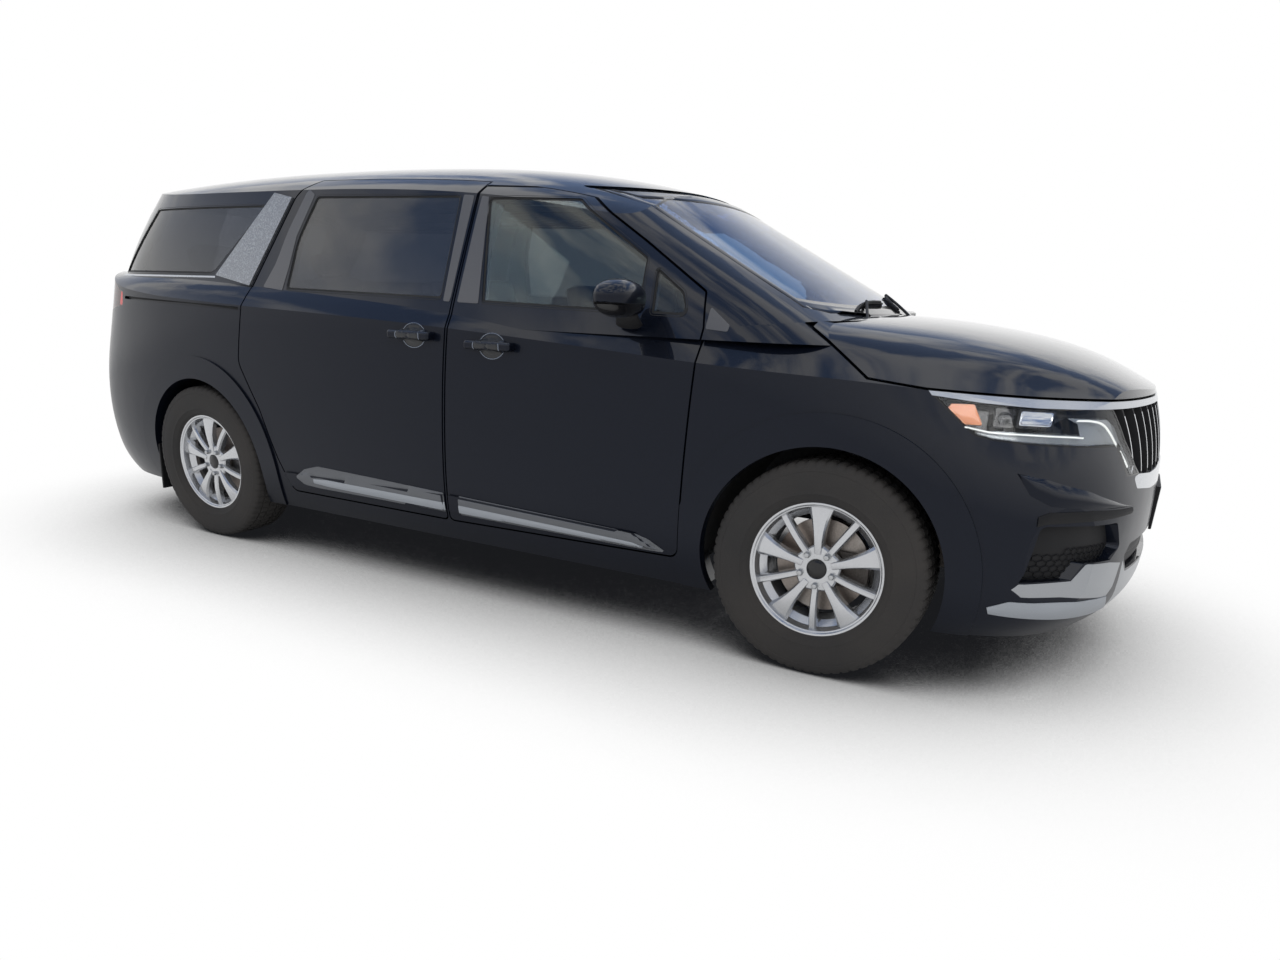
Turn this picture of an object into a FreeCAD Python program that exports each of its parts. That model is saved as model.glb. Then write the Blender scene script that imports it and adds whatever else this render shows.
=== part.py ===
import FreeCAD, Part
import Sketcher
import math
import os

from FreeCAD import Placement, Rotation, Vector

# A seven-seat family minivan, +X forward, +Y to its left, +Z up, origin on the ground under its middle.
# The bodywork is one skin, drawn as smooth nets of shares of the driving dimensions and split into panels.

doc = FreeCAD.newDocument("minivan")
sheet = doc.addObject("Spreadsheet::Sheet", "Sizes")

# Driving dimensions in millimetres: alias, value, what it is
SIZES = (
    ("overall_length", 5156, "bumper to bumper"),
    ("overall_width", 1995, "across the doors, without mirrors"),
    ("overall_height", 1740, "ground to the top of the roof"),
    ("wheelbase", 3090, "axle to axle"),
    ("front_overhang", 935, "front axle to nose"),
    ("track_width", 1740, "middle of tyre to middle of tyre"),
    ("tyre_radius", 368.6, "unloaded radius of the tyre"),
    ("tyre_width", 235, "section width"),
    ("tyre_shoulder", 28, "rounding of the tread's shoulder"),
    ("tyre_bulge", 12, "sidewall outside the bead"),
    ("rim_radius", 231, "outer edge of the rim's flange"),
    ("rim_width", 190, "over the two flanges"),
    ("rim_wall", 9, "barrel thickness"),
    ("rim_flange", 14, "height of the flange over the bead seat"),
    ("well_depth", 24, "drop centre of the barrel"),
    ("hub_radius", 78, "centre of the wheel's face"),
    ("hub_thickness", 36, "wheel centre, front to back"),
    ("face_set_back", 20, "hub face behind the flange"),
    ("spoke_width", 34, "one bar of a pair, at the hub"),
    ("spoke_depth", 30, "spoke, front to back"),
    ("cap_radius", 30, "centre cap"),
    ("nut_circle", 57.15, "radius of the nut circle"),
    ("nut_radius", 11, "wheel nut"),
    ("disc_radius", 160, "brake disc"),
    ("disc_thickness", 26, "brake disc"),
    ("disc_hat_radius", 74, "hat of the brake disc"),
    ("disc_hat_height", 44, "hat of the brake disc"),
    ("hub_bore", 33, "bore for the hub's spigot"),
    ("axle_clearance", 0.05, "spigot in its bore"),
    ("panel_gap", 7, "shut line between panels"),
    ("door_wall", 90, "whole thickness of a door below the windows"),
    ("frame_wall", 42, "whole thickness of the window frames"),
    ("skin_wall", 30, "bumpers, wings, bonnet and roof"),
    ("glass_set_in", 5, "glass behind the outer skin"),
    ("glass_wall", 6, "pane thickness"),
    ("front_arch_radius", 412, "opening round the front wheel"),
    ("rear_arch_radius", 405, "opening round the rear wheel"),
    ("flare_band", 105, "width of the raised band round an arch"),
    ("flare_rise", 9, "how far the band stands out"),
    ("floor_height", 300, "underside of the floor"),
    ("floor_wall", 30, "floor pan with its ribs"),
    ("tread_width", 190, "flat of the tread"),
    ("sidewall_radius", 296, "widest part of the tyre"),
    ("sidewall_round", 46, "rounding of the sidewall"),
    ("flange_wall", 7, "rim flange thickness"),
    ("bead_length", 22, "tyre bead along the rim"),
    ("well_width", 88, "drop centre of the rim"),
    ("cap_wall", 5, "centre cap"),
    ("spoke_root", 60, "radius where the spokes start"),
    ("wide_root", 30, "half of the pair: width of a wide spoke at the hub"),
    ("wide_tip", 88, "width of a wide spoke at the rim"),
    ("narrow_root", 20, "width of a narrow spoke at the hub"),
    ("narrow_tip", 26, "width of a narrow spoke at the rim"),
    ("kingpin_offset", 60, "steering axis inboard of the wheel's middle plane"),
    ("carrier_radius", 50, "hub carrier"),
    ("carrier_length", 88, "hub carrier"),
    ("upright_height", 124, "upright above and below the hub"),
    ("upright_width", 70, "upright"),
    ("upright_depth", 42, "upright"),
    ("arm_reach", 128, "steering arm behind the axle"),
    ("arm_depth", 22, "steering arm and lower arms"),
    ("caliper_reach", 160, "brake caliper from the hub"),
    ("caliper_half", 60, "half of the caliper's height"),
    ("caliper_wall", 10, "caliper on each side of the disc"),
    ("strut_inset", 620, "strut from the centre line"),
    ("strut_radius", 52, "coil spring round the strut"),
    ("strut_rod_radius", 13, "strut rod"),
    ("beam_radius", 38, "rear axle beam"),
    ("joint_gap", 6, "between a moving piece and its neighbour"),
    ("liner_radius", 426, "inside of the front wheel liner"),
    ("liner_wall", 12, "wheel liner"),
    ("steering_ring_radius", 180, "steering wheel"),
    ("steering_grip_radius", 15, "steering wheel rim"),
    ("steering_boss_radius", 62, "steering wheel boss"),
    ("steering_boss_depth", 46, "steering wheel boss"),
    ("steering_tilt", 65, "degrees between the column and upright"),
    ("frame_depth", 150, "from the outer skin to the inside of the pillars below the windows"),
    ("post_depth", 85, "from the outer skin to the inside of the window pillars"),
    ("rail_depth", 75, "from the roof's skin to the underside of its rails"),
    ("lamp_depth", 120, "headlamp housing behind the skin"),
    ("trim_depth", 45, "grille and intake behind the skin"),
    ("tailgate_wall", 62, "whole thickness of the tailgate"),
    ("seal_flange", 62, "how far the opening's flange reaches in behind a door's edge"),
    ("strip_rise", 10, "trims outside the skin"),
    ("lens_wall", 4, "headlamp lens, and the set back of the grille's slats"),
    ("band_depth", 14, "chrome strips, light guides behind the skin, and the slide rail's groove"),
    ("lamp_rim", 6, "wall of the headlamp round its lens"),
    ("slat_wall", 9, "grille slat"),
    ("intake_lap", 12, "how far a sunk insert reaches behind the bumper"),
    ("pipe_radius", 26, "exhaust pipe"),
    ("tail_pipe_radius", 22, "tail pipe"),
    ("column_radius", 44, "steering column shroud"),
    ("handle_round", 11, "rounding of a door handle"),
    ("plate_width", 305, "number plate"),
    ("plate_height", 152, "number plate"),
    ("plate_stand", 20, "number plate holder beyond the bumpers"),
    ("plate_screw_depth", 60, "screw holes behind the holder's face"),
    ("plate_hole_across", 178, "between the plate's screws"),
    ("plate_hole_up", 121, "between the plate's screws"),
    ("plate_hole_radius", 3.5, "plate screw hole"),
    ("mirror_round", 16, "rounding of the mirror's head"),
    ("handle_length", 215, "door handle"),
    ("handle_width", 32, "door handle"),
    ("handle_reach", 26, "door handle outside the skin"),
    ("tool_overrun", 60, "how far a cutter reaches past what it cuts"),
    ("rest_gap", 12, "trim gap between a door and the frame inside it"),
    ("steer_angle", 34, "degrees each way"),
)
for row, (alias, value, words) in enumerate(SIZES, start=1):
    sheet.set("A%d" % row, words)
    sheet.set("B%d" % row, str(value))
    sheet.setAlias("B%d" % row, alias)
doc.recompute()


def size(alias):
    return float(sheet.get(alias))


REACH = size("overall_length") / 2
HALF = size("overall_width") / 2
HEIGHT = size("overall_height")
FRONT_AXLE = REACH - size("front_overhang")
REAR_AXLE = FRONT_AXLE - size("wheelbase")
AXLE_HEIGHT = size("tyre_radius")
WHEEL_Y = size("track_width") / 2
OVERRUN = size("tool_overrun")
GAP = size("panel_gap")
RIGHT, LEFT = -1, 1
# Closer than this counts as touching
TOUCH = 0.01


def station(share):
    """X of a station: 0 is the tail, 1 the rear axle, 2 the front axle and 3 the nose."""
    marks = (-REACH, REAR_AXLE, FRONT_AXLE, REACH)
    span = max(0, min(int(share), 2))
    return marks[span] + (share - span) * (marks[span + 1] - marks[span])


def level(share):
    return share * HEIGHT


def across(share):
    return share * HALF


# Nets and volumes


def knots(count, degree):
    inner = count - degree - 1
    values = [float(k) for k in range(inner + 2)]
    return values, [degree + 1] + [1] * inner + [degree + 1]


def net_face(rows):
    """A smooth cubic face over a net of poles."""
    degree_u, degree_v = min(3, len(rows) - 1), min(3, len(rows[0]) - 1)
    knots_u, mults_u = knots(len(rows), degree_u)
    knots_v, mults_v = knots(len(rows[0]), degree_v)
    surface = Part.BSplineSurface()
    surface.buildFromPolesMultsKnots(
        rows, mults_u, mults_v, knots_u, knots_v, False, False, degree_u, degree_v
    )
    return surface.toShape()


def right_wrap(rows):
    """The right half of a wrap: its wall is the net, with flat ends and a flat middle."""
    wall = net_face(rows)
    middles = [e for e in wall.Edges if e.BoundBox.YLength < TOUCH]
    rims = [e for e in wall.Edges if e.BoundBox.ZLength < TOUCH]
    closers = [Part.makeLine(rim.Vertexes[0].Point, rim.Vertexes[-1].Point) for rim in rims]
    caps = [Part.Face(Part.Wire([rim, closer])) for rim, closer in zip(rims, closers)]
    middle = Part.Face(Part.Wire(Part.__sortEdges__(middles + closers)))
    shell = Part.makeShell([wall, middle] + caps)
    shell.sewShape()
    return Part.makeSolid(shell)


def under_face(rows, depth):
    return net_face(rows).extrude(Vector(0, 0, -depth))


def rounded_wire(points, place):
    """A closed outline: (a, b) corners, or (a, b, radius) for a rounded one, set in space by place."""
    flat = [(Vector(p[0], p[1], 0), p[2] if len(p) > 2 else 0) for p in points]
    corners = []
    for k, (corner, radius) in enumerate(flat):
        back = flat[k - 1][0] - corner
        on = flat[(k + 1) % len(flat)][0] - corner
        half_turn = back.getAngle(on) / 2
        if radius <= 0 or half_turn > math.pi / 2 - 0.01:
            corners.append((corner, corner, corner))
            continue
        run = min(radius / math.tan(half_turn), 0.48 * back.Length, 0.48 * on.Length)
        fitted = run * math.tan(half_turn)
        back.normalize()
        on.normalize()
        middle = back + on
        middle.normalize()
        depth = fitted / math.sin(half_turn) - fitted
        corners.append((corner + back * run, corner + middle * depth, corner + on * run))
    edges = []
    for k, (start, middle, end) in enumerate(corners):
        following = corners[(k + 1) % len(corners)][0]
        if (end - start).Length > 1e-6:
            edges.append(Part.Arc(place(start), place(middle), place(end)).toShape())
        if (following - end).Length > 1e-6:
            edges.append(Part.makeLine(place(end), place(following)))
    return Part.Wire(edges)


def side_cut(points, y_low=None, y_high=None):
    """A cutter with an outline drawn from the side, (x, z), running across the van."""
    y_low = -HALF - OVERRUN if y_low is None else y_low
    y_high = HALF + OVERRUN if y_high is None else y_high
    wire = rounded_wire(points, lambda p: Vector(p.x, y_low, p.y))
    return Part.Face(wire).extrude(Vector(0, y_high - y_low, 0))


def front_cut(points, x_low, x_high):
    """A cutter with an outline drawn from the front, (y, z), running along the van."""
    wire = rounded_wire(points, lambda p: Vector(x_low, p.x, p.y))
    return Part.Face(wire).extrude(Vector(x_high - x_low, 0, 0))


def plan_cut(points, z_low, z_high):
    """A cutter with an outline drawn from above, (x, y), running upwards."""
    wire = rounded_wire(points, lambda p: Vector(p.x, p.y, z_low))
    return Part.Face(wire).extrude(Vector(0, 0, z_high - z_low))


def box(x_low, x_high, y_low, y_high, z_low, z_high):
    return Part.makeBox(x_high - x_low, y_high - y_low, z_high - z_low, Vector(x_low, y_low, z_low))


def mirrored(shape):
    return shape.mirror(Vector(0, 0, 0), Vector(0, 1, 0))


def both_sides(shape):
    return Part.makeCompound([shape, mirrored(shape)])


def drawn(outline_shares):
    """A side outline given as (station, level) shares, with an optional corner radius share of the height."""
    return [(station(p[0]), level(p[1]), level(p[2]) if len(p) > 2 else 0) for p in outline_shares]


def grown(points, distance):
    """The same outline moved outwards by a distance, inwards if it is negative."""
    wire = rounded_wire(points, lambda p: Vector(p.x, p.y, 0))
    return wire.makeOffset2D(distance, 0)


def grown_cut(points, distance, y_low=None, y_high=None):
    y_low = -HALF - OVERRUN if y_low is None else y_low
    y_high = HALF + OVERRUN if y_high is None else y_high
    wire = grown(points, distance)
    wire.rotate(Vector(0, 0, 0), Vector(1, 0, 0), 90)
    wire.translate(Vector(0, y_low, 0))
    return Part.Face(wire).extrude(Vector(0, y_high - y_low, 0))


# The body's skin. Each plan outline runs from the middle of the tail round the right side to the middle
# of the nose, as shares of the reach and of the half width.

LOW_PLAN_SHARES = (
    (-1.000, 0.000), (-1.000, 0.220), (-0.992, 0.520), (-0.970, 0.760), (-0.920, 0.900),
    (-0.820, 0.965), (-0.680, 0.992), (-0.450, 1.000), (-0.150, 1.000), (0.150, 1.000),
    (0.400, 1.000), (0.600, 0.998), (0.740, 0.990), (0.845, 0.955), (0.912, 0.860),
    (0.960, 0.680), (0.988, 0.420), (1.000, 0.180), (1.000, 0.000),
)
HIGH_PLAN_SHARES = (
    (-1.000, 0.000), (-1.000, 0.200), (-0.985, 0.500), (-0.952, 0.745), (-0.890, 0.880),
    (-0.780, 0.940), (-0.640, 0.980), (-0.430, 0.998), (-0.150, 1.000), (0.150, 1.000),
    (0.400, 0.995), (0.600, 0.980), (0.730, 0.950), (0.830, 0.865), (0.905, 0.740),
    (0.958, 0.550), (0.990, 0.300), (1.000, 0.120), (1.000, 0.000),
)
# Lower body levels: height, half width, nose reach, tail reach, share of the high plan
BELT_LEVEL_SHARES = (
    (0.124, 0.925, 0.970, 0.965, 0.0),
    (0.165, 0.965, 1.006, 0.985, 0.0),
    (0.241, 0.990, 1.006, 0.996, 0.0),
    (0.356, 1.000, 1.006, 1.000, 0.1),
    (0.460, 0.999, 0.998, 0.997, 0.4),
    (0.546, 0.993, 0.980, 0.990, 0.8),
    (0.621, 0.980, 0.955, 0.982, 1.0),
    (0.718, 0.960, 0.920, 0.965, 1.0),
)
# Shoulder and bonnet: x as a share of the reach, half width, height of the crease, lean inwards and
# upwards from it, then the ridge's place and height and the height in the middle
DECK_SHARES = (
    (-1.050, 0.760, 0.648, 0.035, 0.043, 0.600, 0.720, 0.740),
    (-0.890, 0.885, 0.648, 0.035, 0.043, 0.740, 0.725, 0.740),
    (-0.700, 0.958, 0.645, 0.035, 0.043, 0.860, 0.725, 0.740),
    (-0.417, 0.978, 0.638, 0.035, 0.043, 0.872, 0.724, 0.740),
    (0.000, 0.980, 0.622, 0.035, 0.043, 0.872, 0.708, 0.725),
    (0.310, 0.976, 0.601, 0.035, 0.043, 0.872, 0.686, 0.705),
    (0.465, 0.968, 0.587, 0.040, 0.041, 0.852, 0.674, 0.688),
    (0.562, 0.957, 0.579, 0.070, 0.040, 0.800, 0.664, 0.682),
    (0.660, 0.942, 0.573, 0.090, 0.035, 0.722, 0.654, 0.680),
    (0.756, 0.908, 0.563, 0.090, 0.030, 0.690, 0.636, 0.668),
    (0.853, 0.802, 0.549, 0.080, 0.026, 0.640, 0.612, 0.643),
    (0.931, 0.640, 0.534, 0.070, 0.020, 0.520, 0.577, 0.600),
    (0.978, 0.520, 0.518, 0.060, 0.012, 0.420, 0.540, 0.556),
    (1.047, 0.420, 0.485, 0.050, 0.008, 0.300, 0.495, 0.505),
)
# Cabin levels: height, half width, tail reach and windscreen reach
CABIN_LEVEL_SHARES = (
    (0.621, 0.968, 0.972, 0.685),
    (0.670, 0.940, 0.966, 0.622),
    (0.747, 0.893, 0.950, 0.524),
    (0.833, 0.841, 0.922, 0.414),
    (0.920, 0.789, 0.876, 0.304),
    (1.011, 0.733, 0.832, 0.188),
)
# Cabin plan: set back from the tail or from the windscreen as shares of the reach, and half width
CABIN_TAIL_SHARES = ((0.0, 0.0), (0.0, 0.24), (0.008, 0.48), (0.034, 0.68), (0.080, 0.82), (0.155, 0.912))
CABIN_SIDE_SHARES = ((0.12, 0.965), (0.35, 0.998), (0.60, 1.0), (0.82, 1.0))
CABIN_FRONT_SHARES = ((0.190, 0.985), (0.105, 0.945), (0.060, 0.865), (0.034, 0.720), (0.011, 0.450), (0.0, 0.180), (0.0, 0.0))
# Roof: x as a share of the reach and height in the middle, then its fall across
ROOF_LINE_SHARES = (
    (-1.040, 0.935), (-0.900, 0.962), (-0.720, 0.985), (-0.480, 1.000), (-0.200, 1.001),
    (0.020, 0.989), (0.160, 0.967), (0.260, 0.940), (0.360, 0.900), (0.500, 0.850), (0.750, 0.745),
)
ROOF_FALL_SHARES = ((-1.02, 0.230), (-0.91, 0.139), (-0.80, 0.083), (-0.70, 0.052), (-0.52, 0.022), (-0.26, 0.004), (0, 0))


def belt_volume(inset):
    rows = []
    for height, width, nose, tail, high in BELT_LEVEL_SHARES:
        row = []
        for low_plan, high_plan in zip(LOW_PLAN_SHARES, HIGH_PLAN_SHARES):
            along = low_plan[0] + (high_plan[0] - low_plan[0]) * high
            out = low_plan[1] + (high_plan[1] - low_plan[1]) * high
            reach = REACH * (nose if along > 0 else tail) - inset
            row.append(Vector(along * reach, -out * (across(width) - inset), level(height)))
        rows.append(row)
    return right_wrap(rows)


def deck_volume(drop):
    columns = []
    for along, width, crease, lean_in, lean_up, ridge_y, ridge_z, middle in DECK_SHARES:
        half = (
            (width + 2 * lean_in, crease - 2 * lean_up),
            (width, crease),
            (width - lean_in, crease + lean_up),
            (ridge_y, ridge_z),
            (ridge_y / 2, middle - (middle - ridge_z) / 4),
        )
        whole = [(-y, z) for y, z in half] + [(y, z) for y, z in reversed(half)]
        columns.append([Vector(along * REACH, across(y), level(z) - drop) for y, z in whole])
    return under_face([list(row) for row in zip(*columns)], HEIGHT)


def cabin_volume(inset):
    rows = []
    for height, width, tail, screen in CABIN_LEVEL_SHARES:
        half = across(width) - inset
        back, front = -(tail * REACH - inset), screen * REACH - inset
        points = [(back + away * REACH, out) for away, out in CABIN_TAIL_SHARES]
        start, end = points[-1][0], front - CABIN_FRONT_SHARES[0][0] * REACH
        points += [(start + share * (end - start), out) for share, out in CABIN_SIDE_SHARES]
        points += [(front - away * REACH, out) for away, out in CABIN_FRONT_SHARES]
        rows.append([Vector(x, -out * half, level(height)) for x, out in points])
    return right_wrap(rows)


def roof_volume(drop):
    falls = ROOF_FALL_SHARES + tuple((-y, fall) for y, fall in reversed(ROOF_FALL_SHARES[:-1]))
    rows = [
        [Vector(along * REACH, across(y), level(top - fall) - drop) for along, top in ROOF_LINE_SHARES]
        for y, fall in falls
    ]
    return under_face(rows, HEIGHT / 2)


def lower_volume(inset, drop):
    return belt_volume(inset).common(deck_volume(drop))


def upper_volume(inset, drop):
    return cabin_volume(inset).common(roof_volume(drop))


def body_volume(lower_inset, upper_inset, drop):
    return lower_volume(lower_inset, drop).fuse(upper_volume(upper_inset, drop))


def even_volume(inset):
    """The right half of the body, all its skin moved in by one inset."""
    return body_volume(inset, inset, inset)


# Right half of the body at each depth
SKIN_RIGHT = body_volume(0, 0, 0)
INSIDE_DOORS = body_volume(size("door_wall"), size("frame_wall"), size("skin_wall"))
INSIDE_SKIN = even_volume(size("skin_wall"))
INSIDE_LENS = even_volume(size("lens_wall"))
INSIDE_BAND = even_volume(size("band_depth"))
INSIDE_TRIM = even_volume(size("trim_depth"))
INSIDE_NOSE = even_volume(size("trim_depth") + size("rest_gap"))
GLASS_OUT = upper_volume(size("glass_set_in"), size("glass_set_in"))
GLASS_IN = upper_volume(size("glass_set_in") + size("glass_wall"), size("glass_set_in") + size("glass_wall"))

# Side outlines as (station, level, corner radius) shares

FRONT_DOOR_SHARES = (
    (1.496, 0.178, 0.01), (1.836, 0.190, 0.02), (1.846, 0.642), (1.838, 0.706, 0.01),
    (1.753, 0.797), (1.645, 0.9060, 0.03), (1.515, 0.9120), (1.507, 0.670),
)
SLIDING_DOOR_SHARES = (
    (1.193, 0.178, 0.02), (1.490, 0.178, 0.01), (1.501, 0.670), (1.511, 0.925), (1.508, 0.948, 0.015),
    (1.222, 0.948, 0.02), (1.190, 0.900, 0.05), (1.128, 0.684, 0.01), (1.119, 0.640), (1.108, 0.500, 0.05),
    (1.146, 0.385, 0.08), (1.172, 0.260, 0.02),
)
FRONT_WINDOW_SHARES = (
    (1.549, 0.672, 0.006), (1.768, 0.664, 0.006), (1.762, 0.768, 0.01), (1.652, 0.884, 0.01), (1.529, 0.888, 0.012),
)
VENT_WINDOW_SHARES = ((1.782, 0.664, 0.006), (1.826, 0.662, 0.02), (1.815, 0.706, 0.02), (1.776, 0.750, 0.005))
SLIDING_WINDOW_SHARES = (
    (1.200, 0.684, 0.01), (1.484, 0.676, 0.012), (1.486, 0.893, 0.012), (1.232, 0.901, 0.015), (1.206, 0.800, 0.2),
)
QUARTER_WINDOW_SHARES = (
    (0.330, 0.716, 0.006), (1.030, 0.716, 0.045), (1.132, 0.884, 0.01), (0.560, 0.886, 0.01),
)


def arch(axle_x, radius):
    return Part.makeCylinder(
        radius, 2 * (HALF + OVERRUN), Vector(axle_x, -HALF - OVERRUN, AXLE_HEIGHT), Vector(0, 1, 0)
    )


nodes = {}


def piece(label, shape):
    """Adds a finished shape to the document under its own label."""
    item = doc.addObject("Part::Feature", label)
    item.Label = label
    item.Shape = shape
    item.Placement = Placement()
    nodes[label] = item
    return item


SLIVER_SHARE = 0.01


def solids_of(shape):
    """The shape's real solids, without slivers beside the largest."""
    largest = max(s.Volume for s in shape.Solids)
    kept = [s for s in shape.Solids if s.Volume > SLIVER_SHARE * largest]
    return kept[0] if len(kept) == 1 else Part.makeCompound(kept)


RISEN_RIGHT = body_volume(-size("flare_rise"), 0, 0)
INSIDE_FRAME = body_volume(size("frame_depth"), size("post_depth"), size("rail_depth"))
INSIDE_REST = body_volume(
    size("door_wall") + size("rest_gap"), size("frame_wall") + size("rest_gap"), size("skin_wall") + size("rest_gap")
)
DOOR_SHELL = SKIN_RIGHT.cut(INSIDE_DOORS)
THIN_SHELL = SKIN_RIGHT.cut(INSIDE_SKIN)
LAMP_SHELL = SKIN_RIGHT.cut(even_volume(size("lamp_depth")))
TRIM_SHELL = SKIN_RIGHT.cut(INSIDE_TRIM)
GLASS_RIGHT = GLASS_OUT.cut(GLASS_IN)

# Lines that split the nose, the tail and the roof, as (station, level) shares of the side view
BONNET_SHARES = (
    (1.948, 0.6595), (2.093, 0.5735), (2.281, 0.5625), (2.60, 0.5540), (2.86, 0.5490), (3.10, 0.5460),
    (3.10, 0.90), (1.948, 0.90),
)
FENDER_SHARES = (
    (1.800, 0.110), (1.800, 0.642), (1.8485, 0.642), (1.887, 0.648), (1.948, 0.6595), (2.093, 0.5735),
    (2.281, 0.5625), (2.405, 0.505), (2.300, 0.455), (2.255, 0.400), (2.200, 0.250), (2.0, 0.110),
)
HEADLAMP_SHARES = (
    (2.281, 0.5605), (2.60, 0.5520), (2.852, 0.5475), (2.93, 0.5450), (2.93, 0.4200), (2.895, 0.4200),
    (2.845, 0.4730), (2.61, 0.4780), (2.500, 0.4825), (2.448, 0.4885), (2.405, 0.505),
)
FRONT_BUMPER_SHARES = (
    (2.281, 0.5625), (2.60, 0.5540), (2.86, 0.5490), (3.10, 0.5460), (3.10, 0.100), (2.10, 0.100), (2.200, 0.250),
    (2.255, 0.400), (2.300, 0.455), (2.405, 0.505),
)
REAR_BUMPER_SHARES = (
    (-0.10, 0.520), (0.28, 0.520), (0.60, 0.440), (0.72, 0.400), (0.72, 0.100), (-0.10, 0.100),
)
TAIL_LAMP_SHARES = ((-0.10, 0.575), (0.435, 0.625), (0.435, 0.660), (0.30, 0.690), (-0.10, 0.690))
SIDE_BODY_SHARES = (
    (0.280, 0.108), (0.280, 0.40), (0.10, 0.520), (-0.10, 0.520), (-0.10, 1.10), (2.10, 1.10), (2.10, 0.67), (1.948, 0.6595),
    (1.900, 0.640), (1.900, 0.108),
)
# Outlines seen from the front or the back, as shares of the half width and of the height
GRILLE_SHARES = (
    (0, 0.5440), (0.34, 0.5420), (0.600, 0.5385), (0.594, 0.5247, 0.01), (0.582, 0.482, 0.02), (0.536, 0.437, 0.02),
    (0.500, 0.4200, 0.005), (0.374, 0.4138), (0.118, 0.4170), (0, 0.4185),
)
SMILE_SHARES = (
    (0, 0.4185), (0.118, 0.4170), (0.374, 0.4138), (0.500, 0.4200, 0.005), (0.545, 0.4160, 0.005), (0.516, 0.3945, 0.01),
    (0.351, 0.3835), (0.097, 0.3800), (0, 0.3775),
)
SLAT_PITCH_SHARE, SLATS = 0.072, 8
CENTRE_INTAKE_SHARES = ((0, 0.292), (0.500, 0.292, 0.01), (0.540, 0.270, 0.005), (0.490, 0.240, 0.01), (0, 0.234))
SIDE_INTAKE_SHARES = (
    (0.640, 0.342, 0.01), (0.880, 0.345, 0.01), (0.888, 0.300), (0.900, 0.2440), (0.782, 0.2460), (0.755, 0.2760, 0.005),
    (0.645, 0.2740, 0.005), (0.600, 0.295, 0.01),
)
BLADE_SHARES = (
    (0.905, 0.2300), (0.899, 0.2410), (0.780, 0.2435), (0.748, 0.2735, 0.005), (0.645, 0.2690), (0.560, 0.2600),
    (0.575, 0.2150), (0.600, 0.1970, 0.005), (0.800, 0.2145), (0.888, 0.2165),
)
SKID_SHARES = ((0, 0.229), (0.490, 0.235, 0.01), (0.540, 0.262), (0.535, 0.210), (0.490, 0.150), (0.440, 0.136), (0, 0.134))
BROW_SHARES = (
    (2.281, 0.5625), (2.60, 0.5540), (2.852, 0.5490), (3.10, 0.5460), (3.10, 0.5325), (2.852, 0.5335), (2.60, 0.5375),
    (2.45, 0.5425), (2.300, 0.5510),
)
LIGHT_GUIDE_SHARES = (
    (2.448, 0.4925), (2.4995, 0.4971), (2.600, 0.4960), (2.735, 0.4925), (2.722, 0.5110), (2.690, 0.5207),
    (2.799, 0.5161), (2.824, 0.5040), (2.852, 0.4800), (2.912, 0.4240), (2.897, 0.4240), (2.843, 0.4765),
    (2.61, 0.4815), (2.500, 0.4862),
)
RAIL_GROOVE_SHARES = (
    (0.462, 0.6500), (0.953, 0.6425), (1.112, 0.6370), (1.112, 0.6285), (0.953, 0.6340), (0.462, 0.6420),
)
TAILGATE_SHARES = ((0, 1.030), (0.650, 1.030), (0.690, 0.700, 0.01), (0.705, 0.500, 0.01), (0.690, 0.345, 0.05), (0, 0.335))
TAILGATE_EDGE_SHARE = 0.440
TAILGATE_WINDOW_SHARES = ((0, 0.905), (0.575, 0.900, 0.03), (0.640, 0.715, 0.03), (0, 0.700))
TAILGATE_LAMP_SHARES = ((0, 0.632), (0.75, 0.628), (0.75, 0.690), (0, 0.672))
WINDSCREEN_SHARES = ((0, 0.928), (0.560, 0.918, 0.03), (0.640, 0.918, 0.02), (0.742, 0.655), (0, 0.640))
SCREEN_BASE_SHARES = ((1.930, 0.90), (1.930, 0.742), (1.955, 0.640), (1.985, 0.300), (1.990, 0.0), (1.20, 0.0), (1.20, 0.90))
BONNET_REAR_SHARES = ((1.955, 0.90), (1.955, 0.755), (1.985, 0.620), (2.022, 0.300), (2.030, 0.0), (3.20, 0.0), (3.20, 1.20), (1.955, 1.20))
ROOF_PANEL_SHARES = ((0.400, 0.0), (0.400, 0.648), (1.700, 0.648), (1.730, 0.0))


def right_side_cut(points):
    return side_cut(points, -HALF - OVERRUN, 0)


def right_front_cut(shares, x_low=None, x_high=None, spread=0):
    """An outline of (half width, level) shares, seen from the front and laid on the right side."""
    x_low = -REACH - OVERRUN if x_low is None else x_low
    x_high = REACH + OVERRUN if x_high is None else x_high
    points = [(-across(p[0]), level(p[1]), level(p[2]) if len(p) > 2 else 0) for p in shares]
    if not spread:
        return front_cut(points, x_low, x_high)
    wire = rounded_wire(points, lambda p: Vector(p.x, p.y, 0)).makeOffset2D(spread, 0)
    wire.transformShape(FreeCAD.Matrix(0, 0, 1, x_low, 1, 0, 0, 0, 0, 1, 0, 0))
    return Part.Face(wire).extrude(Vector(x_high - x_low, 0, 0))


def right_plan_cut(shares):
    """An outline of (station, half width) shares, seen from above and laid on the right side."""
    return plan_cut([(station(p[0]), -across(p[1])) for p in shares], -OVERRUN, HEIGHT + OVERRUN)


def block(shares):
    """A box from (station, station, half width, half width, level, level) shares."""
    return box(
        station(shares[0]), station(shares[1]), across(shares[2]), across(shares[3]), level(shares[4]), level(shares[5])
    )


TAILGATE_ROOM_X = station(TAILGATE_EDGE_SHARE) + GAP
TAILGATE_WINDOW_ZONE = right_front_cut(TAILGATE_WINDOW_SHARES, -REACH - OVERRUN, station(TAILGATE_EDGE_SHARE))
FRONT_DOOR = drawn(FRONT_DOOR_SHARES)
SLIDING_DOOR = drawn(SLIDING_DOOR_SHARES)

# Doors

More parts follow.
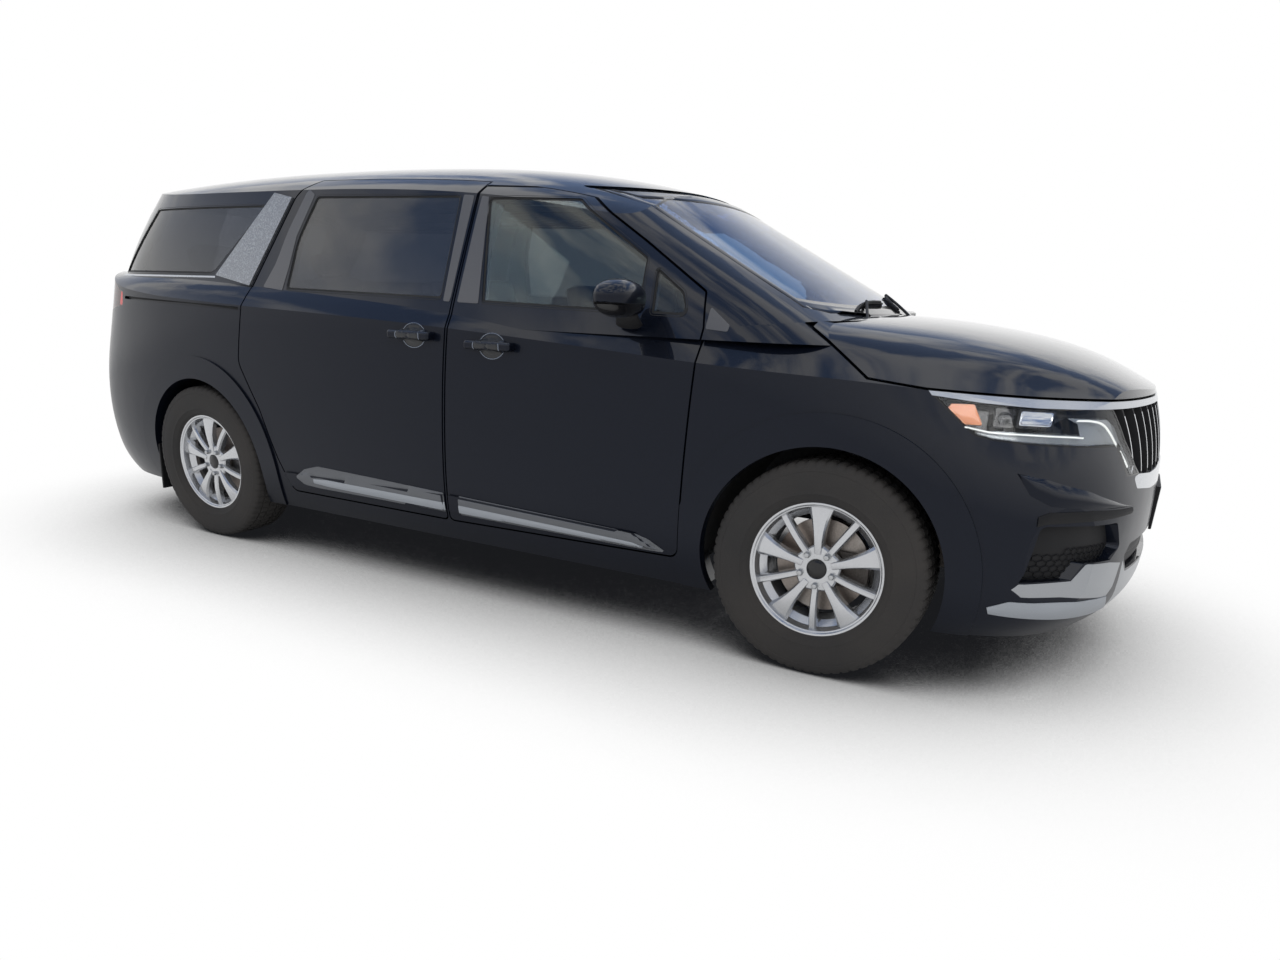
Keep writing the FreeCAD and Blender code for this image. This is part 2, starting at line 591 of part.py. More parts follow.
FRONT_HANDLE_SHARES = (1.575, 0.585)
REAR_HANDLE_SHARES = (1.450, 0.597)


DOOR_TOP_SHARE = 0.715
STRIP_SHARES = (
    (1.175, 0.225), (1.500, 0.240), (1.780, 0.226), (1.806, 0.200), (1.500, 0.200), (1.175, 0.190),
)
STRIP_SHELL = body_volume(-size("strip_rise"), 0, 0).cut(SKIN_RIGHT)


def strip(outline):
    """The guard strip low on a door."""
    door_zone = grown_cut(outline, -GAP, -HALF - OVERRUN, 0)
    return STRIP_SHELL.common(right_side_cut(drawn(STRIP_SHARES))).common(door_zone)


def door(outline, windows, handle):
    body = DOOR_SHELL.common(grown_cut(outline, 0, -HALF - OVERRUN, -across(DOOR_TOP_SHARE)))
    for window in windows:
        body = body.cut(right_side_cut(drawn(window)))
    half_grip, half_depth = size("handle_length") / 2, size("handle_width") / 2
    grip = box(
        station(handle[0]) - half_grip,
        station(handle[0]) + half_grip,
        -HALF - size("handle_reach"),
        -HALF + size("door_wall") / 2,
        level(handle[1]) - half_depth,
        level(handle[1]) + half_depth,
    )
    grip = grip.makeFillet(size("handle_round"), grip.Edges)
    return solids_of(body.fuse([grip, strip(outline)]))


front_door = door(FRONT_DOOR, (FRONT_WINDOW_SHARES, VENT_WINDOW_SHARES), FRONT_HANDLE_SHARES)
sliding_door = door(SLIDING_DOOR, (SLIDING_WINDOW_SHARES,), REAR_HANDLE_SHARES)
piece("front_door_right", front_door)
piece("front_door_left", mirrored(front_door))
piece("sliding_doors", both_sides(sliding_door))


def panes(windows):
    found = [s for w in windows for s in GLASS_RIGHT.common(right_side_cut(drawn(w))).Solids]
    return Part.makeCompound(found)


front_panes = panes((FRONT_WINDOW_SHARES, VENT_WINDOW_SHARES))
piece("front_door_windows_right", front_panes)
piece("front_door_windows_left", mirrored(front_panes))
piece("side_windows", both_sides(panes((SLIDING_WINDOW_SHARES, QUARTER_WINDOW_SHARES))))

# Body sides: pillars, roof rails, sills and rear quarters in one pressing, with door recesses

SCREEN_RIGHT = right_front_cut(WINDSCREEN_SHARES, station(1.6)).common(right_plan_cut(SCREEN_BASE_SHARES))
BONNET_ZONE = right_side_cut(drawn(BONNET_SHARES)).common(right_plan_cut(BONNET_REAR_SHARES))
FRONT_ARCH = arch(FRONT_AXLE, size("front_arch_radius"))
REAR_ARCH = arch(REAR_AXLE, size("rear_arch_radius"))
FRONT_FLARE = RISEN_RIGHT.common(arch(FRONT_AXLE, size("front_arch_radius") + size("flare_band")))
REAR_FLARE = RISEN_RIGHT.common(arch(REAR_AXLE, size("rear_arch_radius") + size("flare_band")))
FLARED_RIGHT = SKIN_RIGHT.fuse(FRONT_FLARE).fuse(REAR_FLARE)


def door_recess(outline):
    """The room for a door in the body side: its own volume with a gap all round."""
    around = grown_cut(outline, GAP, -HALF - OVERRUN, -across(DOOR_TOP_SHARE) + GAP)
    return around.cut(INSIDE_REST)


def aperture(outline):
    return grown_cut(outline, -size("seal_flange"), -HALF - OVERRUN, -across(0.5))


side = FLARED_RIGHT.common(right_side_cut(drawn(SIDE_BODY_SHARES))).cut(INSIDE_FRAME)
for outline in (FRONT_DOOR, SLIDING_DOOR):
    side = side.cut(door_recess(outline)).cut(aperture(outline))
fender_zone = right_side_cut(drawn(FENDER_SHARES))
side = side.cut(arch(FRONT_AXLE, size("liner_radius") + size("liner_wall") + size("rest_gap")))
side = side.cut(fender_zone.cut(body_volume(size("skin_wall") + size("rest_gap"), size("skin_wall"), size("skin_wall"))))
for cutter in (
    right_side_cut(drawn(QUARTER_WINDOW_SHARES)),
    REAR_ARCH,
    right_plan_cut(ROOF_PANEL_SHARES).cut(INSIDE_FRAME),
    SCREEN_RIGHT,
    BONNET_ZONE,
    right_front_cut(TAILGATE_SHARES, -REACH - OVERRUN, TAILGATE_ROOM_X, GAP),
    right_side_cut(drawn(TAIL_LAMP_SHARES)),
    right_side_cut(drawn(REAR_BUMPER_SHARES)),
    right_side_cut(drawn(RAIL_GROOVE_SHARES)).cut(INSIDE_BAND),
):
    side = side.cut(cutter)
piece("body_sides", both_sides(solids_of(side)))
roof_zone = right_plan_cut(ROOF_PANEL_SHARES).common(box(-REACH, REACH, -HALF, 0, level(0.8), HEIGHT + OVERRUN))
roof_half = THIN_SHELL.common(roof_zone).cut(SCREEN_RIGHT)
roof_half = roof_half.cut(right_front_cut(TAILGATE_SHARES, -REACH - OVERRUN, TAILGATE_ROOM_X, GAP))
piece("roof_panel", solids_of(roof_half.fuse(mirrored(roof_half)).removeSplitter()))

# Screw holes of the number plates

PLATE_LEVEL_SHARES = {"front": 0.325, "rear": 0.470}


def plate_screws(end, sign):
    """The four screw holes of a plate, through its holder and into the panel behind."""
    face = sign * (REACH + size("plate_stand"))
    back = face - sign * size("plate_screw_depth")
    holes = []
    for y in (-size("plate_hole_across") / 2, size("plate_hole_across") / 2):
        for z in (-size("plate_hole_up") / 2, size("plate_hole_up") / 2):
            start = Vector(min(face, back), y, level(PLATE_LEVEL_SHARES[end]) + z)
            holes.append(Part.makeCylinder(size("plate_hole_radius"), abs(face - back), start, Vector(1, 0, 0)))
    return holes


# Nose

fender = FLARED_RIGHT.common(fender_zone).cut(INSIDE_SKIN).cut(FRONT_ARCH)
GRILLE_ZONE = right_front_cut(GRILLE_SHARES, station(2.4))
SMILE_ZONE = right_front_cut(SMILE_SHARES, station(2.4))
BROW_ZONE = right_side_cut(drawn(BROW_SHARES))
LAMP_INNER_SHARE = 0.47
LAMP_ZONE = side_cut(drawn(HEADLAMP_SHARES), -HALF - OVERRUN, -across(LAMP_INNER_SHARE)).cut(GRILLE_ZONE)
BONNET_ROOM = grown_cut(drawn(BONNET_SHARES), GAP, -HALF - OVERRUN, 0)
fender = fender.cut(grown_cut(FRONT_DOOR, GAP, -HALF - OVERRUN, 0)).cut(BONNET_ROOM).cut(LAMP_ZONE)
fender = fender.cut(BROW_ZONE.cut(INSIDE_BAND)).common(box(-REACH, REACH, -HALF - OVERRUN, -across(0.60), 0, HEIGHT))
piece("front_fenders", both_sides(solids_of(fender)))

bonnet_half = THIN_SHELL.common(right_side_cut(drawn(BONNET_SHARES)).common(right_plan_cut(BONNET_REAR_SHARES)))
bonnet = bonnet_half.fuse(mirrored(bonnet_half)).removeSplitter()
piece("bonnet", solids_of(bonnet))

# A headlamp is a cup with a lens in its rim and a light guide on its floor
rim = size("lamp_rim")
inner_limit = -across(LAMP_INNER_SHARE) - rim
lens_zone = grown_cut(drawn(HEADLAMP_SHARES), -rim, -HALF - OVERRUN, inner_limit)
lens_zone = lens_zone.cut(right_front_cut(GRILLE_SHARES, station(2.4), spread=rim)).cut(BROW_ZONE)
lamp = LAMP_SHELL.common(LAMP_ZONE).cut(BONNET_ROOM).cut(BROW_ZONE).cut(lens_zone.cut(INSIDE_TRIM))
piece("headlamps", both_sides(solids_of(lamp)))
piece("headlamp_lenses", both_sides(solids_of(SKIN_RIGHT.cut(INSIDE_LENS).common(lens_zone).cut(BONNET_ROOM))))
guide = INSIDE_BAND.cut(INSIDE_TRIM).common(right_side_cut(drawn(LIGHT_GUIDE_SHARES))).common(lens_zone)
piece("light_guides", both_sides(solids_of(guide)))


def whole(half):
    """A right half and its mirror image in one."""
    return solids_of(half.fuse(mirrored(half)).removeSplitter())


brow = SKIN_RIGHT.cut(INSIDE_BAND).common(BROW_ZONE).cut(BONNET_ROOM)
piece("brow_strip", whole(brow))
nose = TRIM_SHELL.common(right_side_cut(drawn(FRONT_BUMPER_SHARES))).cut(BONNET_ROOM).cut(FRONT_ARCH).cut(brow)
SUNK_SHELL = INSIDE_SKIN.cut(INSIDE_TRIM)
slat_room = nose.common(INSIDE_LENS).common(GRILLE_ZONE)
slat_half = size("slat_wall") / 2
slats = [
    slat_room.common(box(0, REACH, -across(y) - slat_half, -across(y) + slat_half, level(0.4), level(0.6)))
    for y in [(k + 0.5) * SLAT_PITCH_SHARE for k in range(SLATS)]
]
grille = nose.common(GRILLE_ZONE).common(INSIDE_SKIN).fuse(slats)
piece("grille", whole(grille))
intake_zones = [right_front_cut(shares, station(2.2)) for shares in (CENTRE_INTAKE_SHARES, SIDE_INTAKE_SHARES)]
centre_insert, side_insert = [
    SUNK_SHELL.common(right_front_cut(shares, station(2.2), spread=size("intake_lap"))).common(
        right_side_cut(drawn(FRONT_BUMPER_SHARES))
    )
    for shares in (CENTRE_INTAKE_SHARES, SIDE_INTAKE_SHARES)
]
side_insert = solids_of(side_insert.cut(FRONT_ARCH))
intake = Part.makeCompound([whole(centre_insert), side_insert, mirrored(side_insert)])
piece("lower_intake", intake.cut(plate_screws("front", 1)))
blade_zone = right_front_cut(BLADE_SHARES, station(2.2))
skid_zone = right_front_cut(SKID_SHARES, station(2.2))
blade = solids_of(SKIN_RIGHT.cut(INSIDE_SKIN).common(blade_zone))
piece("bumper_blades", Part.makeCompound([blade, mirrored(blade), whole(SKIN_RIGHT.cut(INSIDE_SKIN).common(skid_zone))]))
piece("grille_smile", whole(nose.common(SMILE_ZONE)).cut(plate_screws("front", 1)))
bumper = FLARED_RIGHT.common(right_side_cut(drawn(FRONT_BUMPER_SHARES))).cut(INSIDE_SKIN).cut(BONNET_ROOM)
for cutter in [FRONT_ARCH, LAMP_ZONE, GRILLE_ZONE, SMILE_ZONE, brow, blade_zone, skid_zone] + intake_zones:
    bumper = bumper.cut(cutter)
piece("front_bumper", whole(bumper).cut(plate_screws("front", 1)))

# Glass and the cowl below the windscreen

piece("windscreen", whole(GLASS_RIGHT.common(SCREEN_RIGHT)))
cowl_zone = right_plan_cut(
    ((1.955, 0.725), (1.985, 0.600), (2.022, 0.280), (2.028, 0.0), (1.99, 0.0), (1.985, 0.300), (1.955, 0.640), (1.935, 0.725))
)
cowl_room = box(station(1.9), station(2.1), -HALF, 0, level(0.60), level(0.668))
cowl = cowl_room.common(cowl_zone).common(INSIDE_SKIN).cut(side.common(cowl_room))
piece("cowl_panel", whole(cowl))

# Tail

TAIL_SHELL = SKIN_RIGHT.cut(even_volume(size("tailgate_wall")))
tailgate_half = TAIL_SHELL.common(right_front_cut(TAILGATE_SHARES, -REACH - OVERRUN, station(TAILGATE_EDGE_SHARE)))
lamp_bar = TRIM_SHELL.common(right_front_cut(TAILGATE_LAMP_SHARES, -REACH - OVERRUN, station(0.3)))
lamp_bar = lamp_bar.common(right_front_cut(TAILGATE_SHARES, -REACH - OVERRUN, station(TAILGATE_EDGE_SHARE)))
tailgate_half = tailgate_half.cut(TAILGATE_WINDOW_ZONE).cut(lamp_bar)
piece("tailgate", whole(tailgate_half).cut(plate_screws("rear", -1)))
TAILGATE_ZONE = right_front_cut(TAILGATE_SHARES, -REACH - OVERRUN, TAILGATE_ROOM_X, GAP)
piece("tailgate_window", whole(GLASS_RIGHT.common(TAILGATE_WINDOW_ZONE)))
piece("tailgate_lamps", whole(lamp_bar))
tail_lamp = LAMP_SHELL.common(right_side_cut(drawn(TAIL_LAMP_SHARES))).cut(TAILGATE_ZONE)
piece("tail_lamps", both_sides(solids_of(tail_lamp)))
rear_zone = right_side_cut(drawn(REAR_BUMPER_SHARES))
rear_bumper = FLARED_RIGHT.common(rear_zone).cut(INSIDE_TRIM)
piece("rear_bumper", whole(rear_bumper.cut(REAR_ARCH).cut(TAILGATE_ZONE)))

# Number plate holders, shaped to the skin behind them, with four screw holes each

def plate_holder(end, sign):
    half_wide, half_tall = size("plate_width") / 2, size("plate_height") / 2
    middle = level(PLATE_LEVEL_SHARES[end])
    near, far = sorted((sign * (REACH - OVERRUN), sign * (REACH + size("plate_stand"))))
    holder = box(near, far, -half_wide, 0, middle - half_tall, middle + half_tall).cut(SKIN_RIGHT)
    return whole(holder).cut(plate_screws(end, sign))


piece("front_plate_holder", plate_holder("front", 1))
piece("rear_plate_holder", plate_holder("rear", -1))

# Trims that stand on the skin

FIN_LINE_SHARES = (
    (1.042, 0.713), (1.123, 0.690), (1.184, 0.900), (1.146, 0.9125),
)
fin = upper_volume(-size("strip_rise"), -size("strip_rise")).cut(SKIN_RIGHT)
piece("pillar_fins", both_sides(solids_of(fin.common(right_side_cut(drawn(FIN_LINE_SHARES))))))

# Mirrors: a head drawn from behind and rounded over, on an arm from the door

MIRROR_FACE_SHARES = (
    (-0.985, 0.664, 0.02), (-1.165, 0.666, 0.025), (-1.192, 0.690, 0.03), (-1.176, 0.716, 0.02), (-1.060, 0.724, 0.03),
    (-0.985, 0.712, 0.02),
)
MIRROR_PLAN_SHARES = ((1.746, -0.975), (1.746, -1.195), (1.776, -1.185), (1.794, -1.120), (1.796, -0.975))
MIRROR_ARM_SHARES = (1.766, 1.798, 0.930, 1.050, 0.632, 0.668)


def mirror():
    """The head is its outline from behind, cut to its outline from above and rounded over."""
    face = [(across(p[0]), level(p[1]), level(p[2])) for p in MIRROR_FACE_SHARES]
    plan = plan_cut([(station(p[0]), across(p[1])) for p in MIRROR_PLAN_SHARES], level(0.6), level(0.8))
    head = front_cut(face, station(1.7), station(1.9)).common(plan)
    head = head.makeFillet(size("mirror_round"), [e for e in head.Edges if e.Length > size("mirror_round")])
    arm = block((MIRROR_ARM_SHARES[0], MIRROR_ARM_SHARES[1], -MIRROR_ARM_SHARES[3], -MIRROR_ARM_SHARES[2], MIRROR_ARM_SHARES[4], MIRROR_ARM_SHARES[5]))
    return solids_of(head.fuse(arm).cut(SKIN_RIGHT))


right_mirror = mirror()
piece("mirror_right", right_mirror)
piece("mirror_left", mirrored(right_mirror))

# Floor, bulkhead and wheel houses

floor = size("floor_height")
floor_top = floor + size("floor_wall")
BULKHEAD_SHARES = (1.840, 1.851, -1, 1, 0.1724, 0.600)
RAISED_SHARES = (0.130, 1.140, -1, 1, 0.2600, 0.2760)
RISER_SHARES = (1.130, 1.140, -1, 1, 0.1724, 0.2760)
BACK_PANEL_SHARES = (0.128, 0.148, -0.70, 0.70, 0.1724, 0.3200)
HOUSE_INNER_SHARE = 0.700
cabin_room = INSIDE_FRAME.fuse(mirrored(INSIDE_FRAME))
floor_pan = box(station(1.130), station(1.851), -HALF, HALF, floor, floor_top)
for shares in (BULKHEAD_SHARES, RAISED_SHARES, RISER_SHARES):
    floor_pan = floor_pan.fuse(block(shares))
floor_pan = floor_pan.removeSplitter().common(cabin_room)
floor_pan = floor_pan.fuse(block(BACK_PANEL_SHARES).common(INSIDE_NOSE.fuse(mirrored(INSIDE_NOSE))))
house_inner = across(HOUSE_INNER_SHARE)
outer = HALF + OVERRUN


def round_house(radius, depth):
    """A wheel-shaped volume about the rear axle, from beyond the right side inwards."""
    return Part.makeCylinder(radius, depth, Vector(REAR_AXLE, -outer, AXLE_HEIGHT), Vector(0, 1, 0))


cover = round_house(size("rear_arch_radius") + size("liner_wall"), outer - house_inner)
cover = cover.common(box(-REACH, REACH, -outer, 0, floor, HEIGHT)).common(INSIDE_FRAME)
house_room = round_house(size("rear_arch_radius"), outer - house_inner - size("liner_wall"))
for side_cover, room in ((cover, house_room), (mirrored(cover), mirrored(house_room))):
    floor_pan = floor_pan.fuse(side_cover).cut(room)
beam_room = size("beam_radius") + size("rest_gap")
beam_box = box(REAR_AXLE - beam_room, REAR_AXLE + beam_room, -outer, outer, -OVERRUN, AXLE_HEIGHT + beam_room)
piece("floor_pan", solids_of(floor_pan.cut(beam_box)))

# Engine bay frame: rails, inner wings with the strut towers, and the radiator panel

RAIL_SHARES = (1.851, 2.735, 0.420, 0.500, 0.245, 0.310)
WING_SHARES = (1.851, 2.300, 0.500, 0.520, 0.310, 0.540)
TOWER_SHARES = (1.970, 2.035, 0.520, 0.710, 0.500, 0.540)
SHELF_SHARES = (1.851, 2.300, 0.420, 0.520, 0.300, 0.310)
RADIATOR_SHARES = (2.735, 2.775, -0.620, 0.620, 0.200, 0.470)
bay = block(RADIATOR_SHARES)
for shares in (RAIL_SHARES, WING_SHARES, TOWER_SHARES, SHELF_SHARES):
    bay = bay.fuse(block((shares[0], shares[1], -shares[3], -shares[2], shares[4], shares[5])))
piece("front_frame", whole(bay.common(INSIDE_NOSE)))


def liner():
    ring = Part.makeCylinder(
        size("liner_radius") + size("liner_wall"), across(0.42), Vector(FRONT_AXLE, -across(0.95), AXLE_HEIGHT), Vector(0, 1, 0)
    )
    room = Part.makeCylinder(
        size("liner_radius"), across(0.5), Vector(FRONT_AXLE, -across(0.96), AXLE_HEIGHT), Vector(0, 1, 0)
    )
    roof = ring.cut(room).common(box(0, REACH, -HALF, 0, level(0.2), HEIGHT))
    strut_hole = Part.makeCylinder(
        size("strut_radius") + size("joint_gap"), HEIGHT, Vector(FRONT_AXLE, -size("strut_inset"), 0)
    )
    return solids_of(roof.cut(strut_hole).common(INSIDE_NOSE))


front_liner = liner()
piece("wheel_liners", both_sides(front_liner))

# Wheels


def worth(expression):
    return float(sheet.evalExpression(expression.replace("Sizes.", "")))


def origin_plane(body, role):
    return next(f for f in body.Origin.OriginFeatures if f.Role == role)


def outline_sketch(body, name, role, points, offset=None):
    """A closed sketch on one of its body's own planes. Each corner is a pair of expressions."""
    sketch = body.newObject("Sketcher::SketchObject", name)
    sketch.AttachmentSupport = [(origin_plane(body, role), "")]
    sketch.MapMode = "FlatFace"
    if offset:
        sketch.setExpression("AttachmentOffset.Base.z", offset)
    spots = [Vector(worth(a), worth(b), 0) for a, b in points]
    count = len(spots)
    sketch.addGeometry([Part.LineSegment(spots[k], spots[(k + 1) % count]) for k in range(count)], False)
    for k in range(count):
        sketch.addConstraint(Sketcher.Constraint("Coincident", k, 2, (k + 1) % count, 1))
    for k, pair in enumerate(points):
        for kind, axis, expression in (("DistanceX", -2, pair[0]), ("DistanceY", -1, pair[1])):
            if expression == "0":
                sketch.addConstraint(Sketcher.Constraint("PointOnObject", k, 1, axis))
                continue
            number = sketch.addConstraint(Sketcher.Constraint(kind, -1, 1, k, 1, worth(expression)))
            sketch.setExpression("Constraints[%d]" % number, expression)
    return sketch


def revolved(body, name, points):
    """A ring about the body's Y axis. Each corner is a radius and a place along the axis."""
    sketch = outline_sketch(body, name + "_outline", "XY_Plane", points)
    turned = body.newObject("PartDesign::Revolution", name)
    turned.Profile = sketch
    turned.ReferenceAxis = (sketch, ["V_Axis"])
    turned.Angle = 360
    doc.recompute()
    return turned


BEAD = "(Sizes.rim_radius - Sizes.rim_flange)"
WELL = "(Sizes.rim_radius - Sizes.rim_flange - Sizes.well_depth)"
HALF_RIM = "(Sizes.rim_width / 2)"
SEAT = "(Sizes.rim_width / 2 - Sizes.flange_wall)"
FACE = "(-Sizes.rim_width / 2 + Sizes.face_set_back)"
HUB_BACK = "(-Sizes.rim_width / 2 + Sizes.face_set_back + Sizes.hub_thickness)"


def mirrored_outline(half):
    return half + [(a, "-(%s)" % b) for a, b in reversed(half)]


def tyre_body(label):
    body = doc.addObject("PartDesign::Body", label)
    body.Label = label
    half = [
        (BEAD, SEAT + " - Sizes.bead_length"),
        (BEAD, SEAT),
        ("Sizes.rim_radius", SEAT),
        ("Sizes.rim_radius", HALF_RIM),
        ("Sizes.sidewall_radius - Sizes.sidewall_round", "Sizes.tyre_width / 2 - Sizes.tyre_bulge / 3"),
        ("Sizes.sidewall_radius", "Sizes.tyre_width / 2"),
        ("Sizes.tyre_radius - Sizes.tyre_shoulder", "Sizes.tyre_width / 2 - Sizes.tyre_bulge / 3"),
        ("Sizes.tyre_radius - Sizes.tyre_shoulder / 3", "Sizes.tread_width / 2 + Sizes.tyre_bulge / 2"),
        ("Sizes.tyre_radius", "Sizes.tread_width / 2 - Sizes.tyre_bulge / 2"),
    ]
    revolved(body, label + "_ring", mirrored_outline(half))
    return body


def spoke(body, name, root, tip):
    """One tapered spoke from the hub to the barrel, patterned five times."""
    profiles = []
    for end, radius, width, front in (
        ("root", "Sizes.spoke_root", root, FACE),
        ("tip", BEAD + " - Sizes.rim_wall / 2", tip, "(-Sizes.rim_width / 2 + Sizes.flange_wall)"),
    ):
        back = "%s + Sizes.spoke_depth" % front
        points = [
            (front, "-(%s / 3)" % width), (front, "%s / 3" % width),
            (back, "%s / 2" % width), (back, "-(%s / 2)" % width),
        ]
        profiles.append(outline_sketch(body, "%s_%s" % (name, end), "YZ_Plane", points, radius))
    loft = body.newObject("PartDesign::AdditiveLoft", name)
    loft.Profile = profiles[0]
    loft.Sections = [profiles[1]]
    loft.Ruled = True
    doc.recompute()
    return loft


def rim_body(label):
    body = doc.addObject("PartDesign::Body", label)
    body.Label = label
    hub = [
        ("0", FACE), ("Sizes.hub_radius", FACE), ("Sizes.hub_radius", HUB_BACK), ("Sizes.hub_bore", HUB_BACK),
        ("Sizes.hub_bore", FACE + " + Sizes.cap_wall"), ("0", FACE + " + Sizes.cap_wall"),
    ]
    revolved(body, label + "_hub", hub)
    for kind, root, tip in (("wide", "Sizes.wide_root", "Sizes.wide_tip"), ("narrow", "Sizes.narrow_root", "Sizes.narrow_tip")):
        loft = spoke(body, "%s_%s" % (label, kind), root, tip)
        star = body.newObject("PartDesign::PolarPattern", "%s_%s_star" % (label, kind))
        star.Originals = [loft]
        star.Axis = (origin_plane(body, "Y_Axis"), "")
        star.Angle = 360
        star.Occurrences = 5
        body.Tip = star
        doc.recompute()
    barrel = [
        ("Sizes.rim_radius", HALF_RIM), ("Sizes.rim_radius", SEAT), (BEAD, SEAT), (BEAD, SEAT + " - Sizes.bead_length"),
        (WELL, "Sizes.well_width / 2"),
    ]
    inner = [
        (WELL + " - Sizes.rim_wall", "Sizes.well_width / 2"),
        (BEAD + " - Sizes.rim_wall", SEAT + " - Sizes.bead_length"),
        (BEAD + " - Sizes.rim_wall", HALF_RIM),
    ]
    outline = mirrored_outline(barrel) + [(a, "-(%s)" % b) for a, b in inner[::-1]] + inner
    revolved(body, label + "_barrel", outline)
    return body


def disc_body(label):
    body = doc.addObject("PartDesign::Body", label)
    body.Label = label
    ring_front = HUB_BACK + " + Sizes.disc_hat_height - Sizes.disc_thickness / 2"
    ring_back = HUB_BACK + " + Sizes.disc_hat_height + Sizes.disc_thickness / 2"
    outline = [
        ("Sizes.hub_bore", HUB_BACK), ("Sizes.disc_hat_radius", HUB_BACK), ("Sizes.disc_hat_radius", ring_front),
        ("Sizes.disc_radius", ring_front), ("Sizes.disc_radius", ring_back),
        ("Sizes.disc_hat_radius - Sizes.rim_wall", ring_back),
        ("Sizes.disc_hat_radius - Sizes.rim_wall", HUB_BACK + " + Sizes.rim_wall"),
        ("Sizes.hub_bore", HUB_BACK + " + Sizes.rim_wall"),
    ]
    revolved(body, label + "_ring", outline)
    return body


WHEELS = (
    ("front_right", FRONT_AXLE, RIGHT), ("front_left", FRONT_AXLE, LEFT),
    ("rear_right", REAR_AXLE, RIGHT), ("rear_left", REAR_AXLE, LEFT),
)
for corner, axle, side_sign in WHEELS:
    turn = 0 if side_sign == RIGHT else 180
    place = Placement(Vector(axle, side_sign * WHEEL_Y, AXLE_HEIGHT), Rotation(Vector(0, 0, 1), turn))
    for kind, make in (("tyre", tyre_body), ("rim", rim_body), ("brake_disc", disc_body)):
        label = "%s_%s" % (kind, corner)
        item = make(label)
        item.Placement = place
        nodes[label] = item
doc.recompute()

# Hubs, steering knuckles and suspension

FACE_Y = WHEEL_Y + size("rim_width") / 2 - size("face_set_back")
SPIGOT_RADIUS = size("hub_bore") - size("axle_clearance")
SPIGOT_END = FACE_Y - size("cap_wall") - size("joint_gap")
DISC_MIDDLE = FACE_Y - size("hub_thickness") - size("disc_hat_height")
KINGPIN_Y = WHEEL_Y - size("kingpin_offset")


def hub(axle):
    """Spigot and hub carrier of a right-hand wheel."""
    inner = DISC_MIDDLE - size("disc_thickness") / 2 - size("carrier_length") / 2
    spigot = Part.makeCylinder(SPIGOT_RADIUS, SPIGOT_END - inner, Vector(axle, -SPIGOT_END, AXLE_HEIGHT), Vector(0, 1, 0))
    outer = FACE_Y - size("hub_thickness") - size("rim_wall") - size("joint_gap")
    carrier = Part.makeCylinder(
        size("carrier_radius"), outer - inner, Vector(axle, -outer, AXLE_HEIGHT), Vector(0, 1, 0)
    )
    return spigot.fuse(carrier)


def caliper(axle, ahead):
    reach, half = size("caliper_reach"), size("caliper_half")
    side_wall = size("disc_thickness") / 2 + size("joint_gap") + size("caliper_wall")
    near, far = sorted((axle + ahead * (size("carrier_radius") - size("caliper_wall")), axle + ahead * reach))
    body = box(near, far, -DISC_MIDDLE - side_wall, -DISC_MIDDLE + side_wall * 2, AXLE_HEIGHT - half, AXLE_HEIGHT + half)
    room = size("disc_thickness") / 2 + size("joint_gap")
    slot = Part.makeCylinder(
        size("disc_radius") + size("joint_gap"), 2 * room, Vector(axle, -DISC_MIDDLE - room, AXLE_HEIGHT), Vector(0, 1, 0)
    )
    hat = Part.makeCylinder(
        size("disc_hat_radius") + size("joint_gap"), 2 * side_wall, Vector(axle, -DISC_MIDDLE - 2 * side_wall, AXLE_HEIGHT), Vector(0, 1, 0)
    )
    return body.cut(slot).cut(hat)


def upright():
    width, depth, tall = size("upright_width"), size("upright_depth"), size("upright_height")
    outer = DISC_MIDDLE - size("disc_thickness") / 2 - size("joint_gap") * 2
    column = box(FRONT_AXLE - width / 2, FRONT_AXLE + width / 2, -outer, -outer + depth, AXLE_HEIGHT - tall, AXLE_HEIGHT + tall)
    arm = box(
        FRONT_AXLE - size("arm_reach"), FRONT_AXLE, -outer, -outer + size("arm_depth"),
        AXLE_HEIGHT - size("arm_depth"), AXLE_HEIGHT,
    )
    return column.fuse([arm, hub(FRONT_AXLE), caliper(FRONT_AXLE, 1)])


right_upright = solids_of(upright())
piece("knuckle_right", right_upright)
piece("knuckle_left", mirrored(right_upright))

SUBFRAME_SHARES = (1.930, 2.070, -0.400, 0.400, 0.130, 0.165)
lower_top = AXLE_HEIGHT - size("upright_height") - size("joint_gap")
arm_half = size("arm_depth")
subframe = block(SUBFRAME_SHARES)
lower_arm = box(
    FRONT_AXLE - arm_half, FRONT_AXLE + arm_half, -KINGPIN_Y - arm_half / 2, -across(0.38), lower_top - arm_half, lower_top
)
strut = Part.makeCylinder(
    size("strut_radius"), level(0.500) - level(0.280), Vector(FRONT_AXLE, -size("strut_inset"), level(0.280))
).fuse(Part.makeCylinder(size("strut_rod_radius"), level(0.280) - lower_top + arm_half / 2, Vector(FRONT_AXLE, -size("strut_inset"), lower_top - arm_half / 2)))
suspension = subframe
for shape in (lower_arm, strut):
    suspension = suspension.fuse([shape, mirrored(shape)])
piece("front_suspension", solids_of(suspension))

